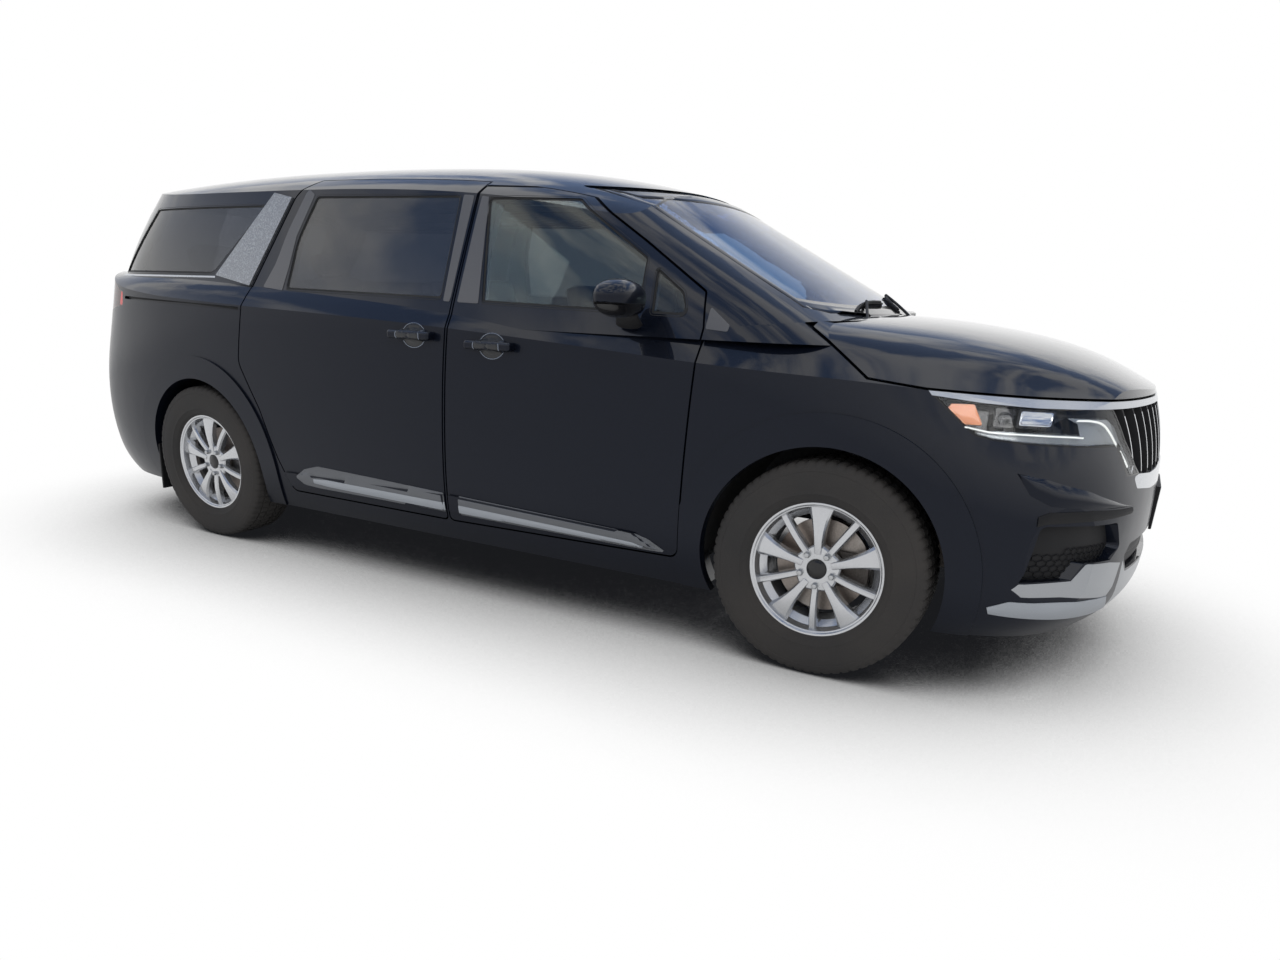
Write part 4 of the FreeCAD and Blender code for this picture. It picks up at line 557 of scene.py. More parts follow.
def finishes():
    """All finishes of the van by name, made once."""
    if FINISHES:
        return FINISHES
    c = colours()
    paint = finish(
        "metallic_paint", c.paint, 0.36, metal=0.5, grain=900, spread=0.35, bump=0.04, depth=0.0002,
        specular=0.12,
    )
    # The paint's coat is thinned on the sides: painted shade that darkens their reflections.
    FINISHES["paint"] = sides_shaded_coat(paint, 0.22)
    for key, name, colour, rough, more in (
        ("plastic", "grained_plastic", c.plastic, 0.55,
         dict(grain=1400, spread=0.2, bump=0.35, depth=0.0004, specular=0.22)),
        ("gloss_black", "gloss_black", (0.005, 0.005, 0.006), 0.12,
         dict(grain=200, bump=0.01, coat=0.35, specular=0.3)),
        ("silver", "satin_silver", c.silver, 0.26,
         dict(metal=0.9, grain=600, spread=0.05, bump=0.03, coat=0.5)),
        ("chrome", "bright_chrome", (0.78, 0.79, 0.81), 0.09,
         dict(metal=1.0, grain=300, spread=0.02, bump=0.01)),
        ("satin_grey", "satin_grey", c.satin_grey, 0.33,
         dict(metal=0.35, grain=1200, spread=0.10, bump=0.05, coat=0.35, coat_rough=0.2)),
        ("guard_grey", "guard_grey", (0.10, 0.105, 0.115), 0.48,
         dict(metal=0.2, grain=1500, spread=0.12, bump=0.15, depth=0.0003)),
        ("guard_silver", "guard_silver", (0.30, 0.32, 0.35), 0.38,
         dict(metal=0.6, grain=900, spread=0.08, bump=0.05)),
        ("fin", "patterned_silver", [v * 0.62 for v in c.silver], 0.34,
         dict(metal=0.8, grain=150, spread=0.22, bump=0.9, depth=0.0012, pattern="cells", coat=0.15)),
        ("blade", "blade_silver", [v * 0.60 for v in c.silver], 0.36,
         dict(metal=0.75, grain=700, spread=0.06, bump=0.04, coat=0.1)),
        ("rubber", "seal_rubber", (0.010, 0.010, 0.010), 0.75, dict(grain=500, bump=0.2)),
        ("tyre", "dusty_tyre", c.tyre, 0.82,
         dict(grain=420, spread=0.18, bump=0.3, depth=0.0006, dust=(0.10, 0.088, 0.078), dust_share=0.30,
              specular=0.25)),
        ("alloy", "painted_alloy", c.alloy, 0.24,
         dict(metal=0.85, grain=700, spread=0.07, bump=0.03, coat=0.7, dust=(0.34, 0.33, 0.31),
              dust_share=0.18)),
        ("cast_iron", "cast_iron", (0.10, 0.095, 0.09), 0.6,
         dict(metal=0.6, grain=160, spread=0.3, bump=0.5, depth=0.001, dust=(0.14, 0.09, 0.06),
              dust_share=0.5)),
        ("disc", "brake_disc", (0.30, 0.28, 0.26), 0.4,
         dict(metal=0.9, grain=200, spread=0.15, bump=0.15, dust=(0.20, 0.12, 0.08), dust_share=0.6)),
        ("steel", "dull_steel", (0.16, 0.16, 0.165), 0.45,
         dict(metal=0.8, grain=120, spread=0.2, bump=0.2, dust=(0.10, 0.085, 0.07), dust_share=0.4)),
        ("nut", "wheel_nut", (0.42, 0.43, 0.44), 0.3, dict(metal=1.0, grain=300, bump=0.05)),
        ("underbody", "underbody", (0.03, 0.031, 0.034), 0.7,
         dict(grain=60, spread=0.25, bump=0.4, depth=0.001)),
        ("liner", "felt_liner", (0.012, 0.012, 0.012), 0.95, dict(grain=300, bump=0.5, depth=0.001)),
        ("tank", "moulded_tank", (0.02, 0.02, 0.021), 0.5, dict(grain=90, bump=0.2)),
        ("seat", "seat_cloth", c.seat, 0.9,
         dict(grain=1600, spread=0.25, bump=0.6, depth=0.0007, sheen=0.35, specular=0.3)),
        ("seat_side", "seat_leather", [v * 0.75 for v in c.seat], 0.55,
         dict(grain=420, bump=0.4, pattern="cells")),
        ("dash", "soft_dash", (0.030, 0.030, 0.032), 0.72, dict(grain=520, bump=0.4, pattern="cells")),
        ("carpet", "carpet", (0.025, 0.025, 0.026), 0.98, dict(grain=900, spread=0.4, bump=0.8, depth=0.002)),
        ("headliner", "headliner", (0.12, 0.118, 0.112), 0.95, dict(grain=800, spread=0.1, bump=0.4)),
        ("guide_body", "guide_body", (0.30, 0.32, 0.33), 0.22,
         dict(metal=0.4, grain=260, spread=0.10, bump=0.05, coat=0.4)),
        ("mirror", "mirror_glass", (0.72, 0.74, 0.76), 0.04,
         dict(metal=1.0, grain=50, spread=0.02, bump=0.0)),
        # The handle rim is a painted highlight and the handle cup is painted shade, for the lit lip and the
        # shaded hollow behind each door handle.
        ("handle_rim", "handle_rim", (0.10, 0.12, 0.16), 0.25,
         dict(metal=0.7, grain=400, bump=0.02, coat=1.0)),
        ("cup", "handle_cup", (0.004, 0.005, 0.007), 0.45, dict(grain=600, bump=0.03, coat=0.15)),
        ("plate", "blank_plate", (0.30, 0.305, 0.31), 0.4,
         dict(metal=0.3, grain=250, spread=0.05, bump=0.05)),
        ("screen_black", "display_glass", (0.008, 0.009, 0.012), 0.1, dict(grain=100, bump=0.0, coat=1.0)),
    ):
        FINISHES[key] = finish(name, colour, rough, **more)
    FINISHES.update({
        "clear": glass_finish("front_glass", (0.40, 0.49, 0.47), bend=1.58),
        "screen": glass_finish("windscreen_glass", (0.30, 0.42, 0.72)),
        "privacy": glass_finish("privacy_glass", (0.085, 0.09, 0.10), bend=1.75),
        "lens": glass_finish("lamp_lens", (0.96, 0.97, 0.98), bend=1.25),
        "red_lens": glass_finish("red_lens", (0.62, 0.03, 0.03), 0.05),
        # The red core glows a little: lamp light on the tail lamp bars, and a painted glow on the bumper
        # reflectors, which are no lamps.
        "red_core": light_finish("red_reflector", (0.42, 0.02, 0.02), 0.12),
        "amber": light_finish("amber_marker", (0.80, 0.27, 0.10), 0.08),
        "guide": light_finish("light_guide", (0.80, 0.82, 0.80), 0.25),
    })
    return FINISHES


def cad_finish(node, material):
    """A carried-over CAD node keeps its mesh and gets a finish in all its slots."""
    mesh = NODES[node].data
    if not mesh.materials:
        mesh.materials.append(material)
    for k in range(len(mesh.materials)):
        mesh.materials[k] = material


# Wheels: profiles are (radius, place across) or (place across, radius, kind) corners in metres

TYRE_RADIUS, TREAD_HALF, TREAD_FALL = 0.3686, 0.094, 0.0035
BLOCK_STEPS = 4
# Kinds: b block, g groove, l shoulder lug, s smooth
TREAD = (
    (-0.094, "l"), (-0.070, "l"), (-0.0695, "g"), (-0.0615, "g"), (-0.061, "b"), (-0.030, "b"),
    (-0.0295, "g"), (-0.0205, "g"), (-0.020, "b"), (0.020, "b"), (0.0205, "g"), (0.0295, "g"),
    (0.030, "b"), (0.061, "b"), (0.0615, "g"), (0.0695, "g"), (0.070, "l"), (0.094, "l"),
)
SIDEWALL = (
    (0.1015, 0.3625, "l"), (0.1075, 0.3555, "l"), (0.1110, 0.3470, "s"), (0.1145, 0.3350, "s"),
    (0.1150, 0.3330, "s"), (0.1140, 0.3315, "s"), (0.1165, 0.3150, "s"), (0.1175, 0.2960, "s"),
    (0.1168, 0.2760, "s"), (0.1150, 0.2620, "s"), (0.1155, 0.2605, "s"), (0.1140, 0.2590, "s"),
    (0.1100, 0.2450, "s"), (0.1035, 0.2360, "s"), (0.0985, 0.2325, "s"), (0.0960, 0.2295, "s"),
    (0.0900, 0.2290, "s"), (0.0880, 0.2200, "s"), (0.0720, 0.2170, "s"),
)
BARREL = (
    (0.2060, 0.0950), (0.2240, 0.0950), (0.2310, 0.0915), (0.2310, 0.0880), (0.2170, 0.0850),
    (0.2165, 0.0640), (0.1930, 0.0440), (0.1930, -0.0440), (0.2165, -0.0640), (0.2170, -0.0850),
    (0.2310, -0.0880),
    (0.2318, -0.0930), (0.2290, -0.0962), (0.2225, -0.0950), (0.2185, -0.0900), (0.2140, -0.0885),
    (0.2090, -0.0700), (0.2070, -0.0610), (0.1840, -0.0420), (0.1840, 0.0420), (0.2060, 0.0620),
)
HUB = (
    (0.0, -0.0700), (0.0330, -0.0700), (0.0345, -0.0740), (0.0420, -0.0752), (0.0740, -0.0725),
    (0.0800, -0.0660), (0.0800, -0.0400), (0.0330, -0.0400),
)
NUT = (
    (0.0150, -0.0722), (0.0150, -0.0745), (0.0112, -0.0748), (0.0108, -0.0855), (0.0086, -0.0885),
    (0.0040, -0.0890), (0.0, -0.0892),
)
NUT_CIRCLE = 0.05715
CAP = (
    (0.0, -0.0805), (0.012, -0.0803), (0.022, -0.0790), (0.0275, -0.0765), (0.0305, -0.0745),
    (0.0320, -0.0745), (0.0325, -0.0700),
)


def tyre_mesh(material):
    """One tyre about the origin: tread blocks, ribs, shoulder lugs and a rimmed sidewall."""
    depth, blocks = sizes().tread_depth, sizes().tread_blocks
    segments = blocks * BLOCK_STEPS
    tread = [(edge, TYRE_RADIUS - TREAD_FALL * (edge / TREAD_HALF) ** 2, kind) for edge, kind in TREAD]
    profile = [(-a, r, k) for a, r, k in reversed(SIDEWALL)] + tread + list(SIDEWALL)
    points = []
    for k in range(segments):
        angle = 2 * math.pi * k / segments
        sipe = k % BLOCK_STEPS == 0
        for a, r, kind in profile:
            swing = 0.0
            if kind in "bl":
                swing = 0.35 * (0.5 - abs(a) / 0.19) * (1 if kind == "b" else 0.3) * (1 if a > 0 else -1)
                if sipe:
                    r -= depth * (0.8 if kind == "b" else 0.7)
            elif kind == "g":
                r -= depth
            turn = angle + swing * 2 * math.pi / blocks
            points.append((r * math.cos(turn), a, r * math.sin(turn)))
    faces = quads(0, segments, len(profile), ring=True, loop=True)
    made = mesh_piece("tyre_pattern", points, faces, material)
    made.data.set_sharp_from_angle(angle=0.7)
    return made


def spoke_loops(root, tip, wide):
    """Cross sections of one spoke at a row of radii, pointing up: half widths at its root and tip."""
    ridge, dip = (0.72, -0.0022) if wide else (0.62, 0.0016)
    loops = []
    for t in (0.0, 0.12, 0.3, 0.5, 0.7, 0.85, 1.0):
        radius = 0.052 + t * (0.2165 - 0.052)
        half = root + (tip - root) * (t ** 2.2 if wide else t)
        front = -0.0755 - 0.0115 * math.sin(math.pi * t * 0.9) + 0.003 * t
        back = front + 0.040 - 0.012 * t
        across = (
            (-half, back), (-half, front + 0.009), (-half * ridge, front), (0, front + dip),
            (half * ridge, front), (half, front + 0.009), (half, back),
        )
        loops.append([Vector((x, y, radius)) for x, y in across])
    return loops


def rim_mesh(material):
    """One wheel about the origin with its face towards -Y: five flared spokes and five narrow ones."""
    points = spun(BARREL, 120)
    faces = quads(0, 120, len(BARREL), ring=True, loop=True)
    for number in range(10):
        is_wide = number % 2 == 0
        loops = spoke_loops(0.0150 if is_wide else 0.0125, 0.0460 if is_wide else 0.0145, is_wide)
        turn = Matrix.Rotation(math.radians(-(2 + 36 * number)), 4, "Y")
        start, count = len(points), len(loops[0])
        points += [tuple(turn @ p) for loop in loops for p in loop]
        faces += quads(start, len(loops), count, ring=True)
        faces += [tuple(end + i for i in range(count)) for end in (start, len(points) - count)]

    def lobed(radius, angle):
        wave = 1 + 0.05 * math.cos(5 * (angle - math.radians(92)))
        return radius * (wave if radius > 0.06 else 1)

    faces += quads(len(points), 60, len(HUB), loop=True)
    points += spun(HUB, 60, lobed)
    return mesh_piece("rim_pattern", points, faces, material)


def wheel_copy(pattern, name, corner, side):
    """The pattern put at one wheel, turned round for the left side."""
    low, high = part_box("tyre_" + corner)
    centre = (low + high) / 2
    turn = Matrix.Identity(4) if side == RIGHT else Matrix.Rotation(math.pi, 4, "Z")
    made = linked(name, pattern.data)
    made.matrix_world = Matrix.Translation(centre) @ turn
    copy_modifiers(pattern, made)
    return made


def nuts_mesh(material):
    """Five wheel nuts as one mesh about the origin."""
    points, faces = [], []
    for number in range(5):
        angle = math.radians(56 + 72 * number)
        x, z = NUT_CIRCLE * math.cos(angle), NUT_CIRCLE * math.sin(angle)
        faces += quads(len(points), len(NUT), 6, ring=True)
        for r, a in NUT:
            flats = [math.radians(60 * k) for k in range(6)]
            points += [(x + r * math.cos(flat), a, z + r * math.sin(flat)) for flat in flats]
    return rounded_edges(mesh_piece("nut_pattern", points, faces, material, smooth=False), 0.0008)


class MINIVAN_OT_wheels(bpy.types.Operator):
    """Tyres with tread, spoked wheels, nuts, caps and brakes"""

    bl_idname = "minivan.wheels"
    bl_label = "Wheels"

    def execute(self, context):
        f = finishes()
        tyre = tyre_mesh(f["tyre"])
        rim = rounded_edges(rim_mesh(f["alloy"]), 0.0016, 0.5)
        nuts = nuts_mesh(f["nut"])
        cap = mesh_piece("cap_pattern", spun(CAP, 60), quads(0, 60, len(CAP), loop=True), f["gloss_black"])
        for corner, side in WHEEL_CORNERS:
            body = "wheel_" + corner
            rubber = ride(wheel_copy(tyre, "tread_" + corner, corner, side), body, "tyre")
            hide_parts("tyre_" + corner)
            wheel = ride(wheel_copy(rim, "wheel_" + corner, corner, side), body, "alloy")
            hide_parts("rim_" + corner)
            ride(wheel_copy(nuts, "wheel_nuts_" + corner, corner, side), body, "steel")
            ride(wheel_copy(cap, "wheel_cap_" + corner, corner, side), body, "black_plastic")
            cad_finish("brake_disc_" + corner, f["disc"])
        for pattern in (tyre, rim, nuts, cap):
            bpy.data.objects.remove(pattern)
        return {"FINISHED"}


# Body: the nodes that keep their CAD shape, by finish

CAD_FINISHES = {
    "paint": (
        "body_sides", "roof_panel", "front_fenders", "bonnet", "front_bumper", "tailgate", "rear_bumper",
        "front_door_right", "front_door_left", "sliding_doors",
    ),
    "plastic": (
        "mirror_right", "mirror_left", "grille", "lower_intake", "cowl_panel", "front_plate_holder",
        "rear_plate_holder",
    ),
    "blade": ("bumper_blades",),
    "fin": ("pillar_fins",),
    "silver": ("brow_strip", "grille_smile"),
    "screen": ("windscreen",),
    "clear": ("front_door_windows_right", "front_door_windows_left"),
    "privacy": ("side_windows", "tailgate_window"),
    "red_lens": ("tail_lamps", "tailgate_lamps"),
    "gloss_black": ("headlamps",),
    "lens": ("headlamp_lenses",),
    "guide_body": ("light_guides",),
    "underbody": ("floor_pan", "front_frame"),
    "liner": ("wheel_liners",),
    "steel": ("front_suspension", "rear_suspension", "muffler", "exhaust_pipe"),
    "cast_iron": ("engine_block", "knuckle_right", "knuckle_left"),
    "tank": ("fuel_tank",),
    "dash": ("dashboard", "steering_wheel"),
    "seat": ("seats",),
}


class MINIVAN_OT_body(bpy.types.Operator):
    """Finishes of the panels and mechanical parts that keep their CAD shape"""

    bl_idname = "minivan.body"
    bl_label = "Body panels"

    def execute(self, context):
        for name, nodes in CAD_FINISHES.items():
            for node in nodes:
                cad_finish(node, finishes()[name])
        return {"FINISHED"}


# Nose: outlines from the side as (x, z), or from the front as (y, z), in metres

AMBER_OUTLINE = (
    (1.966, 0.913, 0.008), (2.015, 0.884, 0.006), (2.078, 0.883, 0.004), (2.045, 0.9405, 0.004),
    (1.980, 0.939, 0.010),
)
# Each projector: its rear and front end, and the finish of its rim
PROJECTORS = ((2.106, 2.158, "gloss_black"), (2.166, 2.264, "chrome"))
BRIGHT_LINE = ((2.030, 0.8745), (2.110, 0.8625), (2.204, 0.8600), (2.306, 0.8560), (2.343, 0.8530))
LAMP_LEG = (
    (-0.742, 0.901), (-0.700, 0.899), (-0.667, 0.890), (-0.650, 0.868), (-0.634, 0.829), (-0.612, 0.795),
    (-0.590, 0.760),
)
SIDE_MESH = ((-0.885, 0.425), (-0.78, 0.432), (-0.62, 0.470), (-0.62, 0.520), (-0.90, 0.505))
SLAT_PITCH = 0.9975 * 0.072
LIP_HIGH = ((2.180, 0.335), (2.238, 0.360), (2.374, 0.357), (2.453, 0.352), (2.498, 0.345))
LIP_LOW = ((2.186, 0.312), (2.240, 0.306), (2.331, 0.298), (2.439, 0.287), (2.500, 0.279))
FACET_HIGH = ((2.196, 0.752), (2.276, 0.737), (2.391, 0.701), (2.507, 0.640))
FACET_LOW = ((2.196, 0.750), (2.240, 0.690), (2.300, 0.660), (2.400, 0.650), (2.507, 0.637))
# Edges of a black band at the top of the bumper's recess: painted shade under its brow.
RECESS_HIGH = ((2.272, 0.630), (2.300, 0.643), (2.414, 0.644), (2.515, 0.631))
RECESS_LOW = ((2.274, 0.600), (2.300, 0.607), (2.414, 0.612), (2.515, 0.612))


class MINIVAN_OT_lamps(bpy.types.Operator):
    """Headlamps' insides: markers, projectors and bright lines"""

    bl_idname = "minivan.lamps"
    bl_label = "Headlamps"

    def execute(self, context):
        lamp = skin("headlamp_lenses", "front_bumper", "front_fenders")
        place = ("body", "headlamp")
        rows = filled(AMBER_OUTLINE, 24, 10)
        trim("amber_marker_right", rows, "side", lamp, "amber", -0.008, 0.008, *place, crown=0.002)
        for number, (low, high, rim) in enumerate(PROJECTORS, 1):
            for name, inset, material, stand, crown in (
                ("projector_frame", 0.0, "gloss_black", -0.010, 0.0),
                ("projector_rim", 0.007, rim, -0.0085, 0.0),
                ("projector_lens", 0.010, "lens", -0.0075, 0.006),
            ):
                rows = filled((
                    (low + inset, 0.881 + inset, 0.006), (high - inset, 0.879 + inset, 0.006),
                    (high - inset, 0.932 - inset, 0.006), (low + inset, 0.935 - inset, 0.006),
                ), 18, 10)
                name = "%s_%d_right" % (name, number)
                trim(name, rows, "side", lamp, material, stand, 0.006, *place, crown=crown)
        line = smooth_line([(x, z, 0) for x, z in BRIGHT_LINE], 60)
        rows = [[Vector((p.x, p.y - 0.0022 + 0.0044 * j)) for p in line] for j in range(2)]
        trim("lamp_line_right", rows, "side", lamp, "guide", 0.0008, 0.002, *place)
        leg = smooth_line([(y, z, 0) for y, z in LAMP_LEG], 60)
        rows = [[p + Vector((0.0035 * j, 0.0025 * j, 0)) for p in leg] for j in (-1, 1)]
        trim("lamp_leg_right", rows, "front", lamp, "guide", 0.0010, 0.003, *place)
        return {"FINISHED"}


def honeycomb(name, outline, view, tree, material, cell, stand, wire):
    """A net of six-sided holes laid on a sunk panel."""
    edge = rounded_outline(outline, 160)
    low_a, high_a = min(p.x for p in edge), max(p.x for p in edge)
    low_b, high_b = min(p.y for p in edge), max(p.y for p in edge)

    def inside(a, b):
        hits = 0
        for p, q in zip(edge, edge[1:] + edge[:1]):
            if (p.y > b) != (q.y > b) and a < p.x + (q.x - p.x) * (b - p.y) / (q.y - p.y):
                hits += 1
        return hits % 2 == 1

    start_at, way = VIEWS[view]
    points, faces, seen = [], [], {}
    row_step, column_step, reach = cell * 0.866, cell, cell / math.sqrt(3)
    rows, columns = int((high_b - low_b) / row_step) + 2, int((high_a - low_a) / column_step) + 2
    for row in range(rows):
        for column in range(columns):
            a = low_a + column_step * (column + (0.5 if row % 2 else 0.0))
            b = low_b + row_step * row
            if not inside(a, b):
                continue
            face = []
            for angle in [math.radians(30 + 60 * k) for k in range(6)]:
                corner = (a + reach * math.cos(angle), b + reach * math.sin(angle))
                key = (round(corner[0], 4), round(corner[1], 4))
                if key not in seen:
                    place = tree.ray_cast(start_at(*corner), way)[0]
                    seen[key] = None if place is None else len(points)
                    if place is not None:
                        points.append(place - way * stand)
                face.append(seen[key])
            if None not in face and max((points[k] - points[face[0]]).length for k in face) < 3 * cell:
                faces.append(face)
    made = mesh_piece(name, points, faces, material, smooth=False)
    step = made.modifiers.new("wire", "WIREFRAME")
    step.thickness, step.use_even_offset, step.use_boundary = wire, False, True
    return made


class MINIVAN_OT_nose(bpy.types.Operator):
    """Painted highlights along the grille slats' edges, intake mesh, bars, lip and number plates"""

    bl_idname = "minivan.nose"
    bl_label = "Nose"

    def execute(self, context):
        width = sizes().slat_edge
        # Each slat gets a thin chrome strip on its edge: a painted highlight standing in for the glint along
        # the black slat.
        for number in range(8):
            y = SLAT_PITCH * (number + 0.5)
            high, low = 0.918 - 0.012 * (y / 0.55) ** 2, 0.745 - 0.012 * (y / 0.55)
            heights = [low + (high - low) * k / 30 for k in range(31)]
            rows = [[Vector((-y + width * j, z)) for z in heights] for j in (-0.5, 0.5)]
            name = "slat_edge_%d_right" % number
            trim(name, rows, "front", skin("grille"), "chrome", 0.0012, 0.003, "body", "silver_trim")
        intake = skin("lower_intake")
        plastic = finishes()["plastic"]
        mesh = honeycomb("side_mesh_right", SIDE_MESH, "front", intake, plastic, 0.020, 0.004, 0.0035)
        ride_both(mesh, "body", "black_plastic")
        for number, height in enumerate((0.432, 0.457, 0.482)):
            places = [-0.46 + 0.92 * k / 60 for k in range(61)]
            rows = [[Vector((y, height - 0.005 + 0.010 * j)) for y in places] for j in range(4)]
            name = "intake_bar_%d" % number
            trim(name, rows, "front", intake, "plastic", 0.012, 0.010, "body", "black_plastic", crown=0.003)
        bumper = skin("front_bumper", "bumper_blades")
        for name, low, high, along, up, material, stand, thick, slot, crown in (
            ("nose_lip", LIP_LOW, LIP_HIGH, 50, 6, "guard_silver", 0.003, 0.006, "silver_trim", 0.002),
            ("bumper_facet", FACET_LOW, FACET_HIGH, 40, 10, "paint", 0.0005, 0.004, "body_paint", 0.007),
            # The recess strip is a black band at the top of the recess: painted shade under its brow.
            ("recess_shade", RECESS_LOW, RECESS_HIGH, 40, 5, "plastic", 0.002, 0.005, "black_plastic", 0.003),
        ):
            rows = between(low, high, along, up)
            trim(name + "_right", rows, "side", bumper, material, stand, thick, "body", slot, crown=crown)
        for end, height, body in (("front", 0.5655, "body"), ("rear", 0.8178, "tailgate")):
            corners = ((-0.1525, -0.076), (0.1525, -0.076), (0.1525, 0.076), (-0.1525, 0.076))
            rows = filled(tuple((y, height + z, 0.010) for y, z in corners), 30, 12)
            holder = skin(end + "_plate_holder")
            trim("blank_plate_" + end, rows, end, holder, "plate", 0.0012, 0.0016, body, "black_plastic")
        return {"FINISHED"}


# Side trims: outlines are drawn from the side as (x, z, corner radius) in metres
FRONT_WINDOW = (
    (0.249, 1.169, 0.010), (0.926, 1.155, 0.010), (0.908, 1.336, 0.017), (0.568, 1.538, 0.017),
    (0.188, 1.545, 0.021),
)
VENT_WINDOW = ((0.969, 1.155, 0.010), (1.105, 1.152, 0.035), (1.071, 1.228, 0.035), (0.951, 1.305, 0.009))
SLIDING_WINDOW = (
    (-0.829, 1.190, 0.017), (0.049, 1.176, 0.021), (0.055, 1.554, 0.021), (-0.730, 1.568, 0.026),
    (-0.810, 1.392, 0.3),
)
QUARTER_WINDOW = (
    (-2.205, 1.246, 0.010), (-1.354, 1.246, 0.078), (-1.039, 1.538, 0.017), (-1.945, 1.542, 0.017),
)
# Each pillar cover: name, node, body and outline
PILLAR_TRIMS = (
    (
        "front_pillar_trim_right", "front_door_right", "front_door_SIDE",
        ((0.132, 1.166), (0.234, 1.164), (0.190, 1.545), (0.154, 1.550)),
    ),
    (
        "middle_pillar_trim_right", "sliding_doors", "body",
        ((0.062, 1.168), (0.096, 1.167), (0.119, 1.552), (0.068, 1.556)),
    ),
    (
        "slide_pillar_trim_right", "sliding_doors", "body",
        (
            (-0.980, 1.196), (-0.843, 1.184), (-0.823, 1.392), (-0.745, 1.574), (-0.790, 1.600),
            (-0.880, 1.420), (-0.918, 1.300),
        ),
    ),
)
SAIL = ((1.178, 1.114), (1.256, 1.108), (1.258, 1.128), (1.178, 1.184))
# Each guard strip: node, body, upper and lower edge of the strip, then of the bright line on it
STRIPS = (
    (
        "front_door_right", "front_door_SIDE",
        ((0.150, 0.419), (0.600, 0.405), (0.960, 0.393), (1.020, 0.380), (1.085, 0.345)),
        ((0.150, 0.340), (0.600, 0.338), (0.960, 0.336), (1.030, 0.336), (1.080, 0.338)),
        ((0.150, 0.383), (0.600, 0.371), (0.960, 0.360), (1.005, 0.349)),
        ((0.150, 0.350), (0.600, 0.346), (0.960, 0.343), (1.000, 0.343)),
    ),
    (
        "sliding_doors", "body",
        ((-0.800, 0.385), (-0.755, 0.420), (-0.660, 0.445), (-0.300, 0.435), (0.066, 0.422)),
        ((-0.800, 0.375), (-0.755, 0.350), (-0.660, 0.345), (-0.300, 0.345), (0.066, 0.342)),
        ((-0.690, 0.385), (-0.600, 0.391), (-0.300, 0.388), (0.066, 0.384)),
        ((-0.690, 0.366), (-0.600, 0.360), (-0.300, 0.355), (0.066, 0.350)),
    ),
)
# Each handle: name, node, body, and the middle of its cup
HANDLES = (
    ("front", "front_door_right", "front_door_SIDE", 0.330, 1.016),
    ("rear", "sliding_doors", "body", -0.056, 1.037),
)
CUP_RADII = (0.062, 0.048)


class MINIVAN_OT_side_trims(bpy.types.Operator):
    """Window seals, pillar covers, guard strips, handle cups and the quarter panel's strip"""

    bl_idname = "minivan.side_trims"
    bl_label = "Side trims"

    def execute(self, context):
        doors = {
            "front_door_right": skin("front_door_right", "front_door_windows_right"),
            "sliding_doors": skin("sliding_doors", "side_windows"),
            "body_sides": skin("body_sides", "side_windows"),
        }
        black, silver = "black_plastic", "silver_trim"
        for name, outline, node, body in (
            ("front_window_seal_right", FRONT_WINDOW, "front_door_right", "front_door_SIDE"),
            ("vent_window_seal_right", VENT_WINDOW, "front_door_right", "front_door_SIDE"),
            ("sliding_window_seal_right", SLIDING_WINDOW, "sliding_doors", "body"),
            ("quarter_window_seal_right", QUARTER_WINDOW, "body_sides", "body"),
        ):
            rows = banded(outline, sizes().seal_on_glass, sizes().seal_on_frame, 150)
            trim(name, rows, "side", doors[node], "rubber", 0.0012, 0.006, body, black, ring=True)
        for name, node, body, outline in PILLAR_TRIMS:
            rows = filled(tuple((x, z, 0.006) for x, z in outline), 20, 40)
            trim(name, rows, "side", doors[node], "satin_grey", 0.0016, 0.004, body, black)
        for node, body, high, low, line_high, line_low in STRIPS:
            part = "front" if node.startswith("front") else "rear"
            for name, top, bottom, material, stand in (
                ("guard_%s_right" % part, high, low, "guard_grey", 0.0024),
                ("guard_line_%s_right" % part, line_high, line_low, "guard_silver", 0.0044),
            ):
                rows = between(bottom, top, 60, 6)
                trim(name, rows, "side", doors[node], material, stand, 0.005, body, silver, crown=0.0012)
        rows = filled(tuple((x, z, 0.006) for x, z in SAIL), 20, 16)
        tree = skin("body_sides", "front_fenders")
        trim("sail_trim_right", rows, "side", tree, "satin_grey", 0.0016, 0.004, "body", black)
        for name, node, body, x, z in HANDLES:
            self.handle_cup(name + "_handle", x, z, skin(node), body)
        rows = between([(-2.180, 1.2265), (-1.330, 1.2285)], [(-2.180, 1.2345), (-1.330, 1.2365)], 50, 3)
        trim("quarter_strip_right", rows, "side", doors["body_sides"], "silver", 0.002, 0.004, "body", silver)
        low = [(-2.030, 1.119), (-1.500, 1.113), (-1.090, 1.096)]
        high = [(-2.035, 1.128), (-1.500, 1.118), (-1.085, 1.105)]
        rows = between(low, high, 50, 3)
        trim("slide_rail_right", rows, "side", skin("body_sides"), "plastic", 0.003, 0.006, "body", black)
        return {"FINISHED"}

    def handle_cup(self, name, x, z, tree, body):
        """The round cup behind a door handle: a fine bright rim, which is a painted highlight on its lip, and
        a dark shallow bowl, which is painted shade in the recess.
        """
        turns = [math.pi * k / 24 for k in range(48)]
        outline = [Vector((CUP_RADII[0] * math.cos(a), CUP_RADII[1] * math.sin(a))) for a in turns]
        pieces = []
        for part, shares, material, stand, thick, edge in (
            ("_rim_right", (0.93, 1.0), "handle_rim", 0.0010, 0.003, 0.0007),
            ("_cup_right", (0.02, 0.25, 0.5, 0.75, 0.93), "cup", 0.0006, 0.002, 0),
        ):
            rows = [[Vector((x, z)) + p * share for p in outline] for share in shares]
            shape = dict(ring=True, edge=edge)
            pieces.append(laid(name + part, rows, "side", tree, finishes()[material], stand, thick, **shape))
        for made in pieces:
            ride_both(made, body, "black_plastic")


